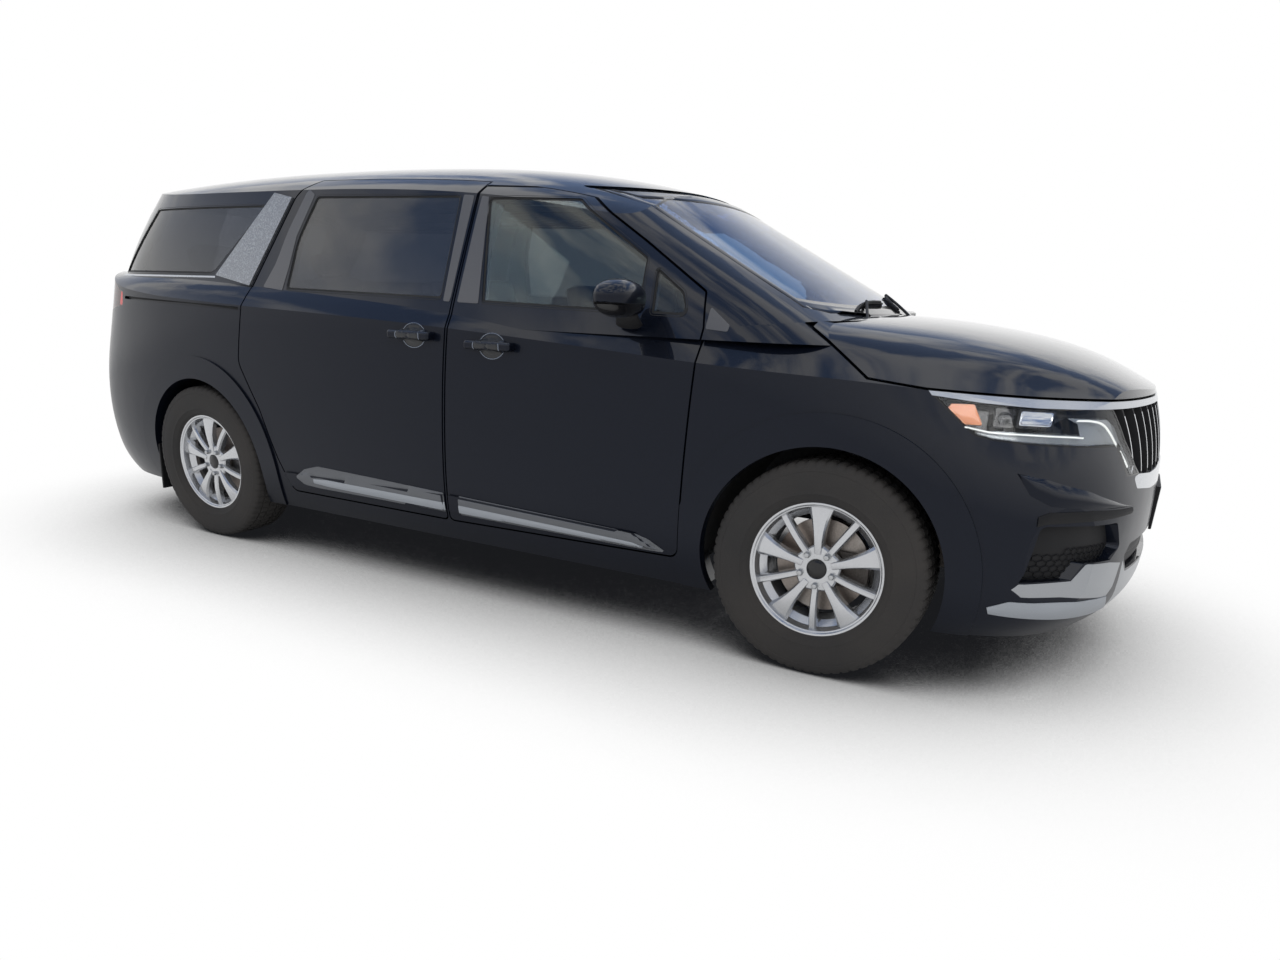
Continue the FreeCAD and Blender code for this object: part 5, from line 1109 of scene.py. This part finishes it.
# Where the mirror's head is cut across the van, and how full it is there
MIRROR_CUTS = (
    (-0.987, 0.80), (-0.990, 0.92), (-1.000, 1.0), (-1.030, 1.02), (-1.070, 1.03), (-1.110, 1.03),
    (-1.145, 0.98), (-1.168, 0.86), (-1.182, 0.62), (-1.188, 0.30),
)
# The height where its cap meets its lower half
MIRROR_PARTING = 1.186


def squared(share, power):
    """A sine or cosine pulled towards a rounded square."""
    return math.copysign(abs(share) ** power, share)


def mirror_section(y, grow, low=None, high=None, count=28):
    """One upright section of the mirror's head at y: an egg with a flat back, cut between two heights."""
    t = (-0.985 - y) / 0.205
    half_x = (0.050 + 0.018 * math.sin(math.pi * min(t, 1) * 0.55)) * grow
    half_z = (0.034 + 0.026 * math.sin(math.pi * min(0.15 + t * 0.75, 0.97))) * grow
    centre = Vector((0.934 - 0.012 * t, y, 1.198 + 0.004 * t))
    made = []
    for k in range(count):
        angle = 2 * math.pi * k / count
        c, s = math.cos(angle), math.sin(angle)
        x = half_x * squared(c, 0.75) * (1.0 if c > 0 else 0.72)
        z = half_z * squared(s, 0.75)
        z = max(z, low - centre.z) if low is not None else z
        z = min(z, high - centre.z) if high is not None else z
        made.append(centre + Vector((x, 0, z)))
    return made


class MINIVAN_OT_mirrors(bpy.types.Operator):
    """Mirrors: painted cap, black lower half, glass and arm"""

    bl_idname = "minivan.mirrors"
    bl_label = "Mirrors"

    def execute(self, context):
        f = finishes()

        def head(share, low=None, high=None):
            return [mirror_section(y, grow * share, low, high) for y, grow in MIRROR_CUTS]

        cap = rounded_edges(lofted("mirror_cap_right", head(1, low=MIRROR_PARTING), f["paint"]), 0.0025, 0.7)
        bowl = lofted("mirror_bowl_right", head(0.985, high=MIRROR_PARTING - 0.004), f["gloss_black"])
        rounded_edges(bowl, 0.002, 0.7)
        loops = head(0.97, MIRROR_PARTING - 0.006, MIRROR_PARTING + 0.002)
        line = lofted("mirror_line_right", loops, f["plastic"])
        turns = [2 * math.pi * k / 20 for k in range(20)]
        loops = []
        for y, x, z, wide, tall in (
            (-0.955, 0.905, 1.112, 0.060, 0.016), (-0.985, 0.912, 1.125, 0.050, 0.018),
            (-1.010, 0.922, 1.146, 0.042, 0.020), (-1.030, 0.930, 1.168, 0.038, 0.020),
        ):
            loops.append([Vector((x + wide * math.cos(a), y, z + tall * math.sin(a))) for a in turns])
        arm = lofted("mirror_arm_right", loops, f["plastic"])
        smooth = arm.modifiers.new("smooth", "SUBSURF")
        smooth.levels = smooth.render_levels = 1
        turns = [2 * math.pi * k / 36 for k in range(36)]
        loops = []
        for depth, grow in ((-0.0372, 0.92), (-0.0405, 0.90)):
            wide, tall = 0.086 * grow, 0.043 * grow
            loops.append([
                Vector((
                    0.931 + depth - 0.006, -1.088 + wide * squared(math.cos(a), 0.6),
                    1.201 + tall * squared(math.sin(a), 0.6),
                ))
                for a in turns
            ])
        glass = lofted("mirror_glass_right", loops, f["mirror"])
        left_cap = ride_both(cap, "front_door_SIDE", "body_paint")
        for made in (bowl, line, arm, glass):
            ride_both(made, "front_door_SIDE", "black_plastic")
        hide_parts("mirror_right")
        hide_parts("mirror_left")
        return {"FINISHED"}


class MINIVAN_OT_tail(bpy.types.Operator):
    """Tail lamp bar, third lamp, handle bar, reflectors, rear wiper, bumper trim and mud flaps"""

    bl_idname = "minivan.tail"
    bl_label = "Tail"

    def execute(self, context):
        f = finishes()
        gate = skin("tailgate", "tailgate_lamps", "tailgate_window")
        bumper = skin("rear_bumper")
        # Each bar across the tail: half its length and its height at the lower and at the upper edge
        for name, tree, low, z_low, high, z_high, body, material, slot in (
            ("lamp_bar", gate, 0.670, 1.138, 0.670, 1.150, "tailgate", "red_core", "tail_lamp"),
            ("third_lamp", gate, 0.170, 1.640, 0.170, 1.652, "tailgate", "red_core", "tail_lamp"),
            ("gate_bar", gate, 0.330, 0.925, 0.330, 0.955, "tailgate", "silver", "silver_trim"),
            ("gate_handle", gate, 0.110, 0.905, 0.110, 0.921, "tailgate", "plastic", "black_plastic"),
            ("bumper_trim", bumper, 0.560, 0.300, 0.600, 0.400, "body", "plastic", "black_plastic"),
            ("bumper_line", bumper, 0.580, 0.402, 0.590, 0.420, "body", "silver", "silver_trim"),
        ):
            rows = between(((-low, z_low), (low, z_low)), ((-high, z_high), (high, z_high)), 60, 5)
            trim(name, rows, "rear", tree, material, 0.004, 0.007, body, slot, crown=0.002)
        # The reflectors glow a little through the red core finish: a painted glow, since a reflector is no
        # lamp.
        for name, outer, inner, z_low, z_high, stand, material in (
            ("reflector_right", -0.760, -0.640, 0.430, 0.462, 0.0045, "red_core"),
            ("reflector_frame_right", -0.775, -0.625, 0.420, 0.472, 0.0025, "plastic"),
        ):
            rows = between(((outer, z_low), (inner, z_low)), ((outer, z_high), (inner, z_high)), 24, 5)
            trim(name, rows, "rear", bumper, material, stand, 0.005, "body", "tail_lamp", crown=0.001)
        window = skin("tailgate_window")
        start_at, way = VIEWS["rear"]
        blade = []
        for k in range(13):
            start = start_at(0.03 - 0.40 * k / 12, 1.262 + 0.020 * math.sin(math.pi * k / 12))
            place = window.ray_cast(start, way)[0]
            if place is None:
                raise RuntimeError("the rear wiper misses its window")
            blade.append(place + Vector((-0.006, 0, 0.002)))
        ride(tube("rear_wiper_rubber", blade, 0.0045, f["rubber"]), "tailgate", "black_plastic")
        away = (Vector((-0.010, 0.05, -0.022)), Vector((-0.012, 0, -0.006)), Vector((-0.007, 0, 0.004)))
        arm = [blade[k] + step for k, step in zip((0, 2, 6), away)]
        ride(tube("rear_wiper_arm", arm, 0.006, f["plastic"], order=3), "tailgate", "black_plastic")
        corners = ((-1.848, -0.968), (-1.836, -0.968), (-1.836, -0.800), (-1.848, -0.800))
        shares = (0.0, 0.25, 0.5, 0.75, 1.0)
        flap = [[Vector((x - 0.016 * t, y, 0.420 - 0.235 * t)) for x, y in corners] for t in shares]
        ride_both(rounded_edges(lofted("mud_flap_right", flap, f["plastic"]), 0.004), "body", "black_plastic")
        return {"FINISHED"}


class MINIVAN_OT_glass_trims(bpy.types.Operator):
    """Windscreen border and wipers"""

    bl_idname = "minivan.glass_trims"
    bl_label = "Windscreen and wipers"

    def execute(self, context):
        f = finishes()
        screen = skin("windscreen")
        border = ("gloss_black", 0.0006, 0.0012, "body", "black_plastic")
        top = [(-0.590, 1.589), (-0.40, 1.597), (0, 1.609), (0.40, 1.597), (0.590, 1.589)]
        low, high = [smooth_line([(y, z - drop, 0) for y, z in top], 60) for drop in (0.040, 0)]
        trim("screen_border_top", between(low, high, 60, 4), "front", screen, *border, edge=0)
        edge = [(-0.718, 1.172), (-0.698, 1.310), (-0.670, 1.440), (-0.645, 1.535), (-0.612, 1.586)]
        rows = between([(y + 0.028, z) for y, z in edge], edge, 60, 4)
        trim("screen_border_side_right", rows, "front", screen, *border, edge=0)
        base = [(1.428, -0.735), (1.500, -0.630), (1.560, -0.45), (1.593, -0.25), (1.604, 0)]
        base += [(x, -y) for x, y in base[-2::-1]]
        outer = smooth_line([(x, y, 0) for x, y in base], 80)
        inner = smooth_line([(x - 0.075, y * 0.99, 0) for x, y in base], 80)
        trim("screen_border_base", between(inner, outer, 80, 4), "top", screen, *border, edge=0)
        for name, line in (
            ("driver", [(1.575, 0.060), (1.500, 0.180), (1.440, 0.360), (1.405, 0.560)]),
            ("passenger", [(1.565, -0.560), (1.530, -0.400), (1.515, -0.200), (1.520, -0.010)]),
        ):
            self.wiper(name, line, screen, f)
        return {"FINISHED"}

    def wiper(self, name, line, screen, f):
        """One wiper: a rubber blade on the glass and its arm above."""
        start_at, way = VIEWS["top"]
        spots = []
        for p in smooth_line([(x, y, 0) for x, y in line], 40):
            place = screen.ray_cast(start_at(p.x, p.y), way)[0]
            if place is not None:
                spots.append(place)
        if len(spots) < 12:
            raise RuntimeError("the wiper misses the windscreen")
        middle = spots[len(spots) // 2]
        pivot = spots[0] + Vector((0.045, 0, -0.012))
        arm = [pivot, pivot.lerp(middle, 0.35) + Vector((0, 0, 0.012)), middle + Vector((0, 0, 0.015))]
        rubber = [p + Vector((0, 0, 0.004)) for p in spots[::3]]
        blade = [p + Vector((0, 0, 0.010)) for p in spots[1:-1:3]]
        for part, points, radius, material, order in (
            ("rubber", rubber, 0.004, "rubber", 4), ("blade", blade, 0.005, "plastic", 4),
            ("arm", arm, 0.0055, "plastic", 3),
        ):
            made = tube("wiper_%s_%s" % (part, name), points, radius, f[material], order)
            ride(made, "body", "black_plastic")

# How square a pad's outline is: 2 would be an egg
PAD_POWER = 4.6


def pad(name, centre, half, tilt, material, crown=0.10, seams=(), cross=(), cuts=24):
    """A crowned closed cushion with sewn channels. The tilt turns its face towards the nose."""
    shape = bmesh.new()
    bmesh.ops.create_cube(shape, size=2)
    bmesh.ops.subdivide_edges(shape, edges=shape.edges, cuts=cuts, use_grid_fill=True)
    for spot in shape.verts:
        x, y, z = spot.co
        norm = sum(abs(v) ** PAD_POWER for v in (x, y, z)) ** (1 / PAD_POWER)
        x, y, z = x / norm, y / norm, z / norm
        pull = 0.035 * (1 - z * z)
        x, y = x * (1 - pull * (1 - y * y)), y * (1 - pull * (1 - x * x))
        z *= 1 + crown * (1 - x * x) * (1 - y * y)
        if z > 0:
            for line in seams:
                z -= 0.14 * math.exp(-(((y - line) / 0.045) ** 2))
            for line in cross:
                z -= 0.10 * math.exp(-(((x - line) / 0.045) ** 2)) * (abs(y) < 0.75)
        spot.co = (x * half[0], y * half[1], z * half[2])
    shape.transform(Matrix.Translation(centre) @ Matrix.Rotation(math.radians(tilt), 4, "Y"))
    mesh = bpy.data.meshes.new(name)
    shape.to_mesh(mesh)
    shape.free()
    mesh.shade_smooth()
    mesh.materials.append(material)
    return linked(name, mesh)


def seat_pad(name, *shape, fill, **more):
    """A padded piece of a seat."""
    made = ride(pad(name, *shape, **more), "body", "seat")
    return made


# Each seat: name, front edge, middle across, half width, rise above the front seats
SEATS = (
    ("front_right", 0.531, -0.389, 0.222, 0.0), ("front_left", 0.531, 0.389, 0.222, 0.0),
    ("middle_right", -0.427, -0.379, 0.262, 0.0), ("middle_left", -0.427, 0.379, 0.262, 0.0),
    ("rear_right", -1.339, -0.415, 0.200, 0.143), ("rear_middle", -1.339, 0.0, 0.200, 0.143),
    ("rear_left", -1.339, 0.415, 0.200, 0.143),
)


class MINIVAN_OT_seats(bpy.types.Operator):
    """Seven seats: cushions, backrests, head restraints and their bases"""

    bl_idname = "minivan.seats"
    bl_label = "Seats"

    def execute(self, context):
        f = finishes()
        for name, front, y, half, rise in SEATS:
            cushion = seat_pad(
                "cushion_" + name, Vector((front - 0.262, y, 0.482 + rise)), (0.245, half, 0.072), -3,
                f["seat"], fill=0.85, seams=(-0.60, 0.60), cross=(-0.35, 0.05, 0.45),
            )
            if name == "front_right":
                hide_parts("seats")
            seat_pad(
                "backrest_" + name, Vector((front - 0.560, y, 0.815 + rise)), (0.310, half * 0.96, 0.058), 74,
                f["seat"], fill=0.85, seams=(-0.58, 0.58), cross=(-0.45, -0.1, 0.25, 0.6),
            )
            seat_pad(
                "head_restraint_" + name, Vector((front - 0.645, y, 1.192 + rise)), (0.058, 0.125, 0.046), 78,
                f["seat_side"], fill=0.95, cuts=14,
            )
            for number, side in enumerate((-0.055, 0.055)):
                ends = ((-0.655, 1.08), (-0.648, 1.19))
                post = [Vector((front + x, y + side, z + rise)) for x, z in ends]
                made = tube("head_post_%s_%d" % (name, number), post, 0.006, f["steel"], order=2)
                ride(made, "body", "steel")
            loops = []
            for share, low, high in (
                (-1, 0.352, 0.418), (-0.8, 0.349, 0.425), (0.8, 0.349, 0.425), (1, 0.352, 0.418),
            ):
                corners = ((-0.48, low), (-0.05, low), (-0.05, high + 0.02), (-0.48, high))
                loops.append([Vector((front + x, y + share * half * 0.86, z + rise)) for x, z in corners])
            ride(rounded_edges(lofted("seat_base_" + name, loops, f["plastic"]), 0.006), "body", "seat")
        return {"FINISHED"}


# Each soft bar of the cabin: name, middle, half sizes, finish, tilt and number of cuts
CABIN_BARS = (
    ("dash_pad", (0.950, 0, 1.060), (0.170, 0.700, 0.032), "dash", 0, 22),
    ("display_bar", (0.772, 0.235, 1.075), (0.052, 0.330, 0.012), "screen_black", -74, 10),
    ("vent_strip", (0.742, 0, 0.965), (0.016, 0.690, 0.010), "gloss_black", -90, 16),
    ("glove_box", (0.744, -0.400, 0.850), (0.070, 0.210, 0.012), "dash", -86, 10),
    ("console", (0.430, 0, 0.520), (0.300, 0.115, 0.120), "dash", 0, 16),
    ("console_lid", (0.250, 0, 0.645), (0.140, 0.105, 0.022), "seat_side", 0, 10),
    ("gear_knob", (0.560, 0, 0.672), (0.035, 0.030, 0.030), "gloss_black", 0, 10),
)
# The middle of the steering wheel, and how far its face leans back
WHEEL_MIDDLE, WHEEL_LEAN = Vector((0.6079, 0.3691, 0.9744)), 65
# Each door's inner trim: name, node, body and outline
DOOR_TRIMS = (
    (
        "front_door_trim_right", "front_door_right", "front_door_SIDE",
        ((0.210, 0.430), (0.960, 0.430), (1.020, 0.700), (1.060, 1.110), (0.220, 1.120)),
    ),
    (
        "slide_door_trim_right", "sliding_doors", "body",
        ((-0.800, 0.460), (0.030, 0.430), (0.060, 1.130), (-0.880, 1.130)),
    ),
)


def flat_net(x, length, y, width, along, across):
    """Rows of points over a rectangle seen from above."""
    places = [x + length * k / along for k in range(along + 1)]
    return [[Vector((place, y + width * j / across)) for place in places] for j in range(across + 1)]


class MINIVAN_OT_cabin(bpy.types.Operator):
    """Dashboard, displays, console, door trims, carpet, headliner and steering wheel pad"""

    bl_idname = "minivan.cabin"
    bl_label = "Cabin"

    def execute(self, context):
        f = finishes()
        for name, middle, half, material, tilt, cuts in CABIN_BARS:
            made = pad(name, Vector(middle), half, tilt, f[material], crown=0.04, cuts=cuts)
            ride(made, "body", "trim_soft")
        lean = math.radians(WHEEL_LEAN)
        middle = WHEEL_MIDDLE + Vector((-math.sin(lean), 0, math.cos(lean))) * 0.018
        made = pad("airbag_pad", middle, (0.072, 0.080, 0.022), -WHEEL_LEAN, f["dash"], crown=0.04, cuts=10)
        ride(made, "steering_wheel", "trim_soft")
        place = ("body", "trim_soft")
        rows = flat_net(-2.0, 2.42, -0.56, 1.12, 40, 16)
        trim("headliner", rows, "under", skin("roof_panel"), "headliner", 0.006, 0.004, *place, edge=0)
        rows = flat_net(-1.0, 2.06, -0.70, 1.40, 30, 16)
        trim("carpet", rows, "top", skin("floor_pan"), "carpet", 0.008, 0.007, *place, edge=0)
        for name, node, body, outline in DOOR_TRIMS:
            rows = filled(tuple((x, z, 0.05) for x, z in outline), 24, 20)
            trim(name, rows, "inside", skin(node), "dash", 0.007, 0.006, body, "trim_soft", edge=0)
        return {"FINISHED"}


# Stage: each light's name, place, aim, size, power and colour
LIGHTS = (
    ("key_softbox", (4.5, -5.5, 5.5), (0.3, 0, 0.8), 4.5, 260, (1.0, 0.99, 0.97)),
    ("fill_softbox", (-5.0, -4.5, 4.0), (-0.5, 0, 0.8), 4.0, 110, (0.97, 0.98, 1.0)),
    ("top_softbox", (0.0, 1.5, 6.0), (0, 0, 0), 6.0, 200, (0.96, 0.98, 1.0)),
)
# The photograph's camera in degrees, metres and pixels, found from its two wheels and their distance
AZIMUTH, ELEVATION, ROLL, DISTANCE = 29.149, 20.019, 1.912, 3.39508
AIM = Vector((0.8618, -0.9, 0.0443))
FOCAL_PIXELS, AIM_PIXEL = 862.72, (617.6, 610.8)
WIDE_PIXELS, HIGH_PIXELS, SENSOR = 1280, 960, 36


def seen_share(nodes, link):
    """1 for rays from the camera, from gloss and through glass, and 0 for the light on the object."""
    path = nodes.new("ShaderNodeLightPath")
    either, any_of = nodes.new("ShaderNodeMath"), nodes.new("ShaderNodeMath")
    either.operation = any_of.operation = "MAXIMUM"
    link(path.outputs["Is Camera Ray"], either.inputs[0])
    link(path.outputs["Is Glossy Ray"], either.inputs[1])
    link(either.outputs[0], any_of.inputs[0])
    link(path.outputs["Is Transmission Ray"], any_of.inputs[1])
    return any_of.outputs[0]


def mixed_by_ray(nodes, link, lit, seen, output):
    """One shader lights the object and another is what is seen."""
    mixed = nodes.new("ShaderNodeMixShader")
    link(seen_share(nodes, link), mixed.inputs["Fac"])
    link(lit.outputs[0], mixed.inputs[1])
    link(seen.outputs[0], mixed.inputs[2])
    link(mixed.outputs[0], output.inputs["Surface"])


class MINIVAN_OT_stage(bpy.types.Operator):
    """Pale floor with a painted shadow under the van, soft studio light and the camera"""

    bl_idname = "minivan.stage"
    bl_label = "Stage and camera"

    def execute(self, context):
        scene = context.scene
        scene.view_settings.view_transform = "Standard"
        self.camera(scene)
        self.floor()
        self.world(scene)
        for name, place, aim, wide, power, tint in LIGHTS:
            lamp = bpy.data.lights.new(name, "AREA")
            lamp.shape, lamp.size, lamp.energy, lamp.color = "SQUARE", wide, power, tint
            made = linked(name, lamp)
            made.visible_glossy = False
            made.location = place
            made.rotation_euler = (Vector(aim) - Vector(place)).to_track_quat("-Z", "Y").to_euler()
        return {"FINISHED"}

    def camera(self, scene):
        """The camera stands where the photograph's two wheels and their distance put it."""
        data = bpy.data.cameras.new("camera")
        made = linked("camera", data)
        azimuth, elevation, roll = math.radians(AZIMUTH), math.radians(ELEVATION), math.radians(ROLL)
        level = math.cos(elevation)
        back = Vector((math.sin(azimuth) * level, -math.cos(azimuth) * level, math.sin(elevation)))
        across = (-back).cross(Vector((0, 0, 1))).normalized()
        up = across.cross(-back)
        turned_across = across * math.cos(roll) + up * math.sin(roll)
        turned_up = -across * math.sin(roll) + up * math.cos(roll)
        axes = Matrix((turned_across, turned_up, back)).transposed().to_4x4()
        made.matrix_world = Matrix.Translation(AIM + back * DISTANCE) @ axes
        data.sensor_width = SENSOR
        data.lens = SENSOR * FOCAL_PIXELS / WIDE_PIXELS
        data.shift_x = (WIDE_PIXELS / 2 - AIM_PIXEL[0]) / WIDE_PIXELS
        data.shift_y = (AIM_PIXEL[1] - HIGH_PIXELS / 2) / WIDE_PIXELS
        data.clip_end = 100
        scene.camera = made

    def floor(self):
        material, nodes, link, shader = fresh_material("pale_floor")
        shader.inputs["Roughness"].default_value = 0.9
        shader.inputs["Specular IOR Level"].default_value = 0.1
        grain = nodes.new("ShaderNodeTexNoise")
        grain.inputs["Scale"].default_value = 40
        tint = ramp(nodes, link, grain.outputs["Fac"], (0.80,) * 3, (0.86,) * 3)
        link(tint, shader.inputs["Base Color"])
        # What the camera, gloss and glass see of the floor is an emission darkened by ambient occlusion near
        # the van: a painted shadow, not one cast by the lights.
        near = nodes.new("ShaderNodeAmbientOcclusion")
        near.samples = 12
        near.inputs["Distance"].default_value = 1.1
        shade = ramp(nodes, link, near.outputs["AO"], (0.010, 0.0105, 0.012), (1, 1, 1), (0.30, 0.92))
        plain = nodes.new("ShaderNodeEmission")
        link(shade, plain.inputs["Color"])
        mixed_by_ray(nodes, link, shader, plain, nodes["Material Output"])
        points = []
        for radius in (3.0, 8.0, 20.0, 60.0):
            turns = [a * math.pi / 32 for a in range(64)]
            points += [(radius * math.cos(a), radius * math.sin(a), 0) for a in turns]
        faces = quads(0, 4, 64, ring=True) + [tuple(range(64))]
        mesh_piece("floor", points, faces, material, smooth=False)

    def world(self, scene):
        """White round the horizon and a sky above for what is seen, and plain light on the object."""
        world = bpy.data.worlds.new("studio")
        scene.world = world
        world.use_nodes = True
        nodes, link = world.node_tree.nodes, world.node_tree.links.new
        nodes.clear()
        out = nodes.new("ShaderNodeOutputWorld")
        seen, lit = nodes.new("ShaderNodeBackground"), nodes.new("ShaderNodeBackground")
        lit.inputs["Color"].default_value = (0.93, 0.96, 1.0, 1)
        lit.inputs["Strength"].default_value = 0.45
        place = nodes.new("ShaderNodeTexCoord").outputs["Generated"]
        split = nodes.new("ShaderNodeSeparateXYZ")
        link(place, split.inputs["Vector"])
        sky = ramp(nodes, link, split.outputs["Z"], (1, 1, 1), (0.16, 0.25, 0.46), (0.28, 0.50))
        cloud = texture(nodes, link, "Noise", place, Scale=4.5, Detail=7.0, Distortion=0.4)
        cloudy = nodes.new("ShaderNodeMixRGB")
        cloudy.inputs["Color2"].default_value = (1, 1, 1, 1)
        cover = ramp(nodes, link, cloud.outputs["Fac"], (0, 0, 0), (1, 1, 1), (0.46, 0.60))
        link(cover, cloudy.inputs["Fac"])
        link(sky, cloudy.inputs["Color1"])
        link(cloudy.outputs["Color"], seen.inputs["Color"])
        mixed_by_ray(nodes, link, lit, seen, out)


class MINIVAN_PT_panel(bpy.types.Panel):
    """Lists the van's operators"""

    bl_idname = "MINIVAN_PT_panel"
    bl_label = "Minivan"
    bl_space_type = "VIEW_3D"
    bl_region_type = "UI"
    bl_category = "Minivan"

    def draw(self, context):
        for operator in OPERATORS:
            self.layout.operator(operator.bl_idname)
        for group in (context.scene.van_colours, context.scene.van_sizes):
            for name in group.__annotations__:
                self.layout.prop(group, name)


OPERATORS = (
    MINIVAN_OT_body, MINIVAN_OT_wheels, MINIVAN_OT_lamps, MINIVAN_OT_nose, MINIVAN_OT_side_trims,
    MINIVAN_OT_mirrors, MINIVAN_OT_tail, MINIVAN_OT_glass_trims, MINIVAN_OT_seats, MINIVAN_OT_cabin,
    MINIVAN_OT_stage,
)
CLASSES = (VanColours, VanSizes, *OPERATORS, MINIVAN_PT_panel)


def register():
    for cls in CLASSES:
        bpy.utils.register_class(cls)
    bpy.types.Scene.van_colours = bpy.props.PointerProperty(type=VanColours)
    bpy.types.Scene.van_sizes = bpy.props.PointerProperty(type=VanSizes)


def unregister():
    del bpy.types.Scene.van_colours
    del bpy.types.Scene.van_sizes
    for cls in reversed(CLASSES):
        bpy.utils.unregister_class(cls)


def main():
    register()
    for operator in OPERATORS:
        group, name = operator.bl_idname.split(".")
        getattr(getattr(bpy.ops, group), name)()


if __name__ == "__main__":
    main()
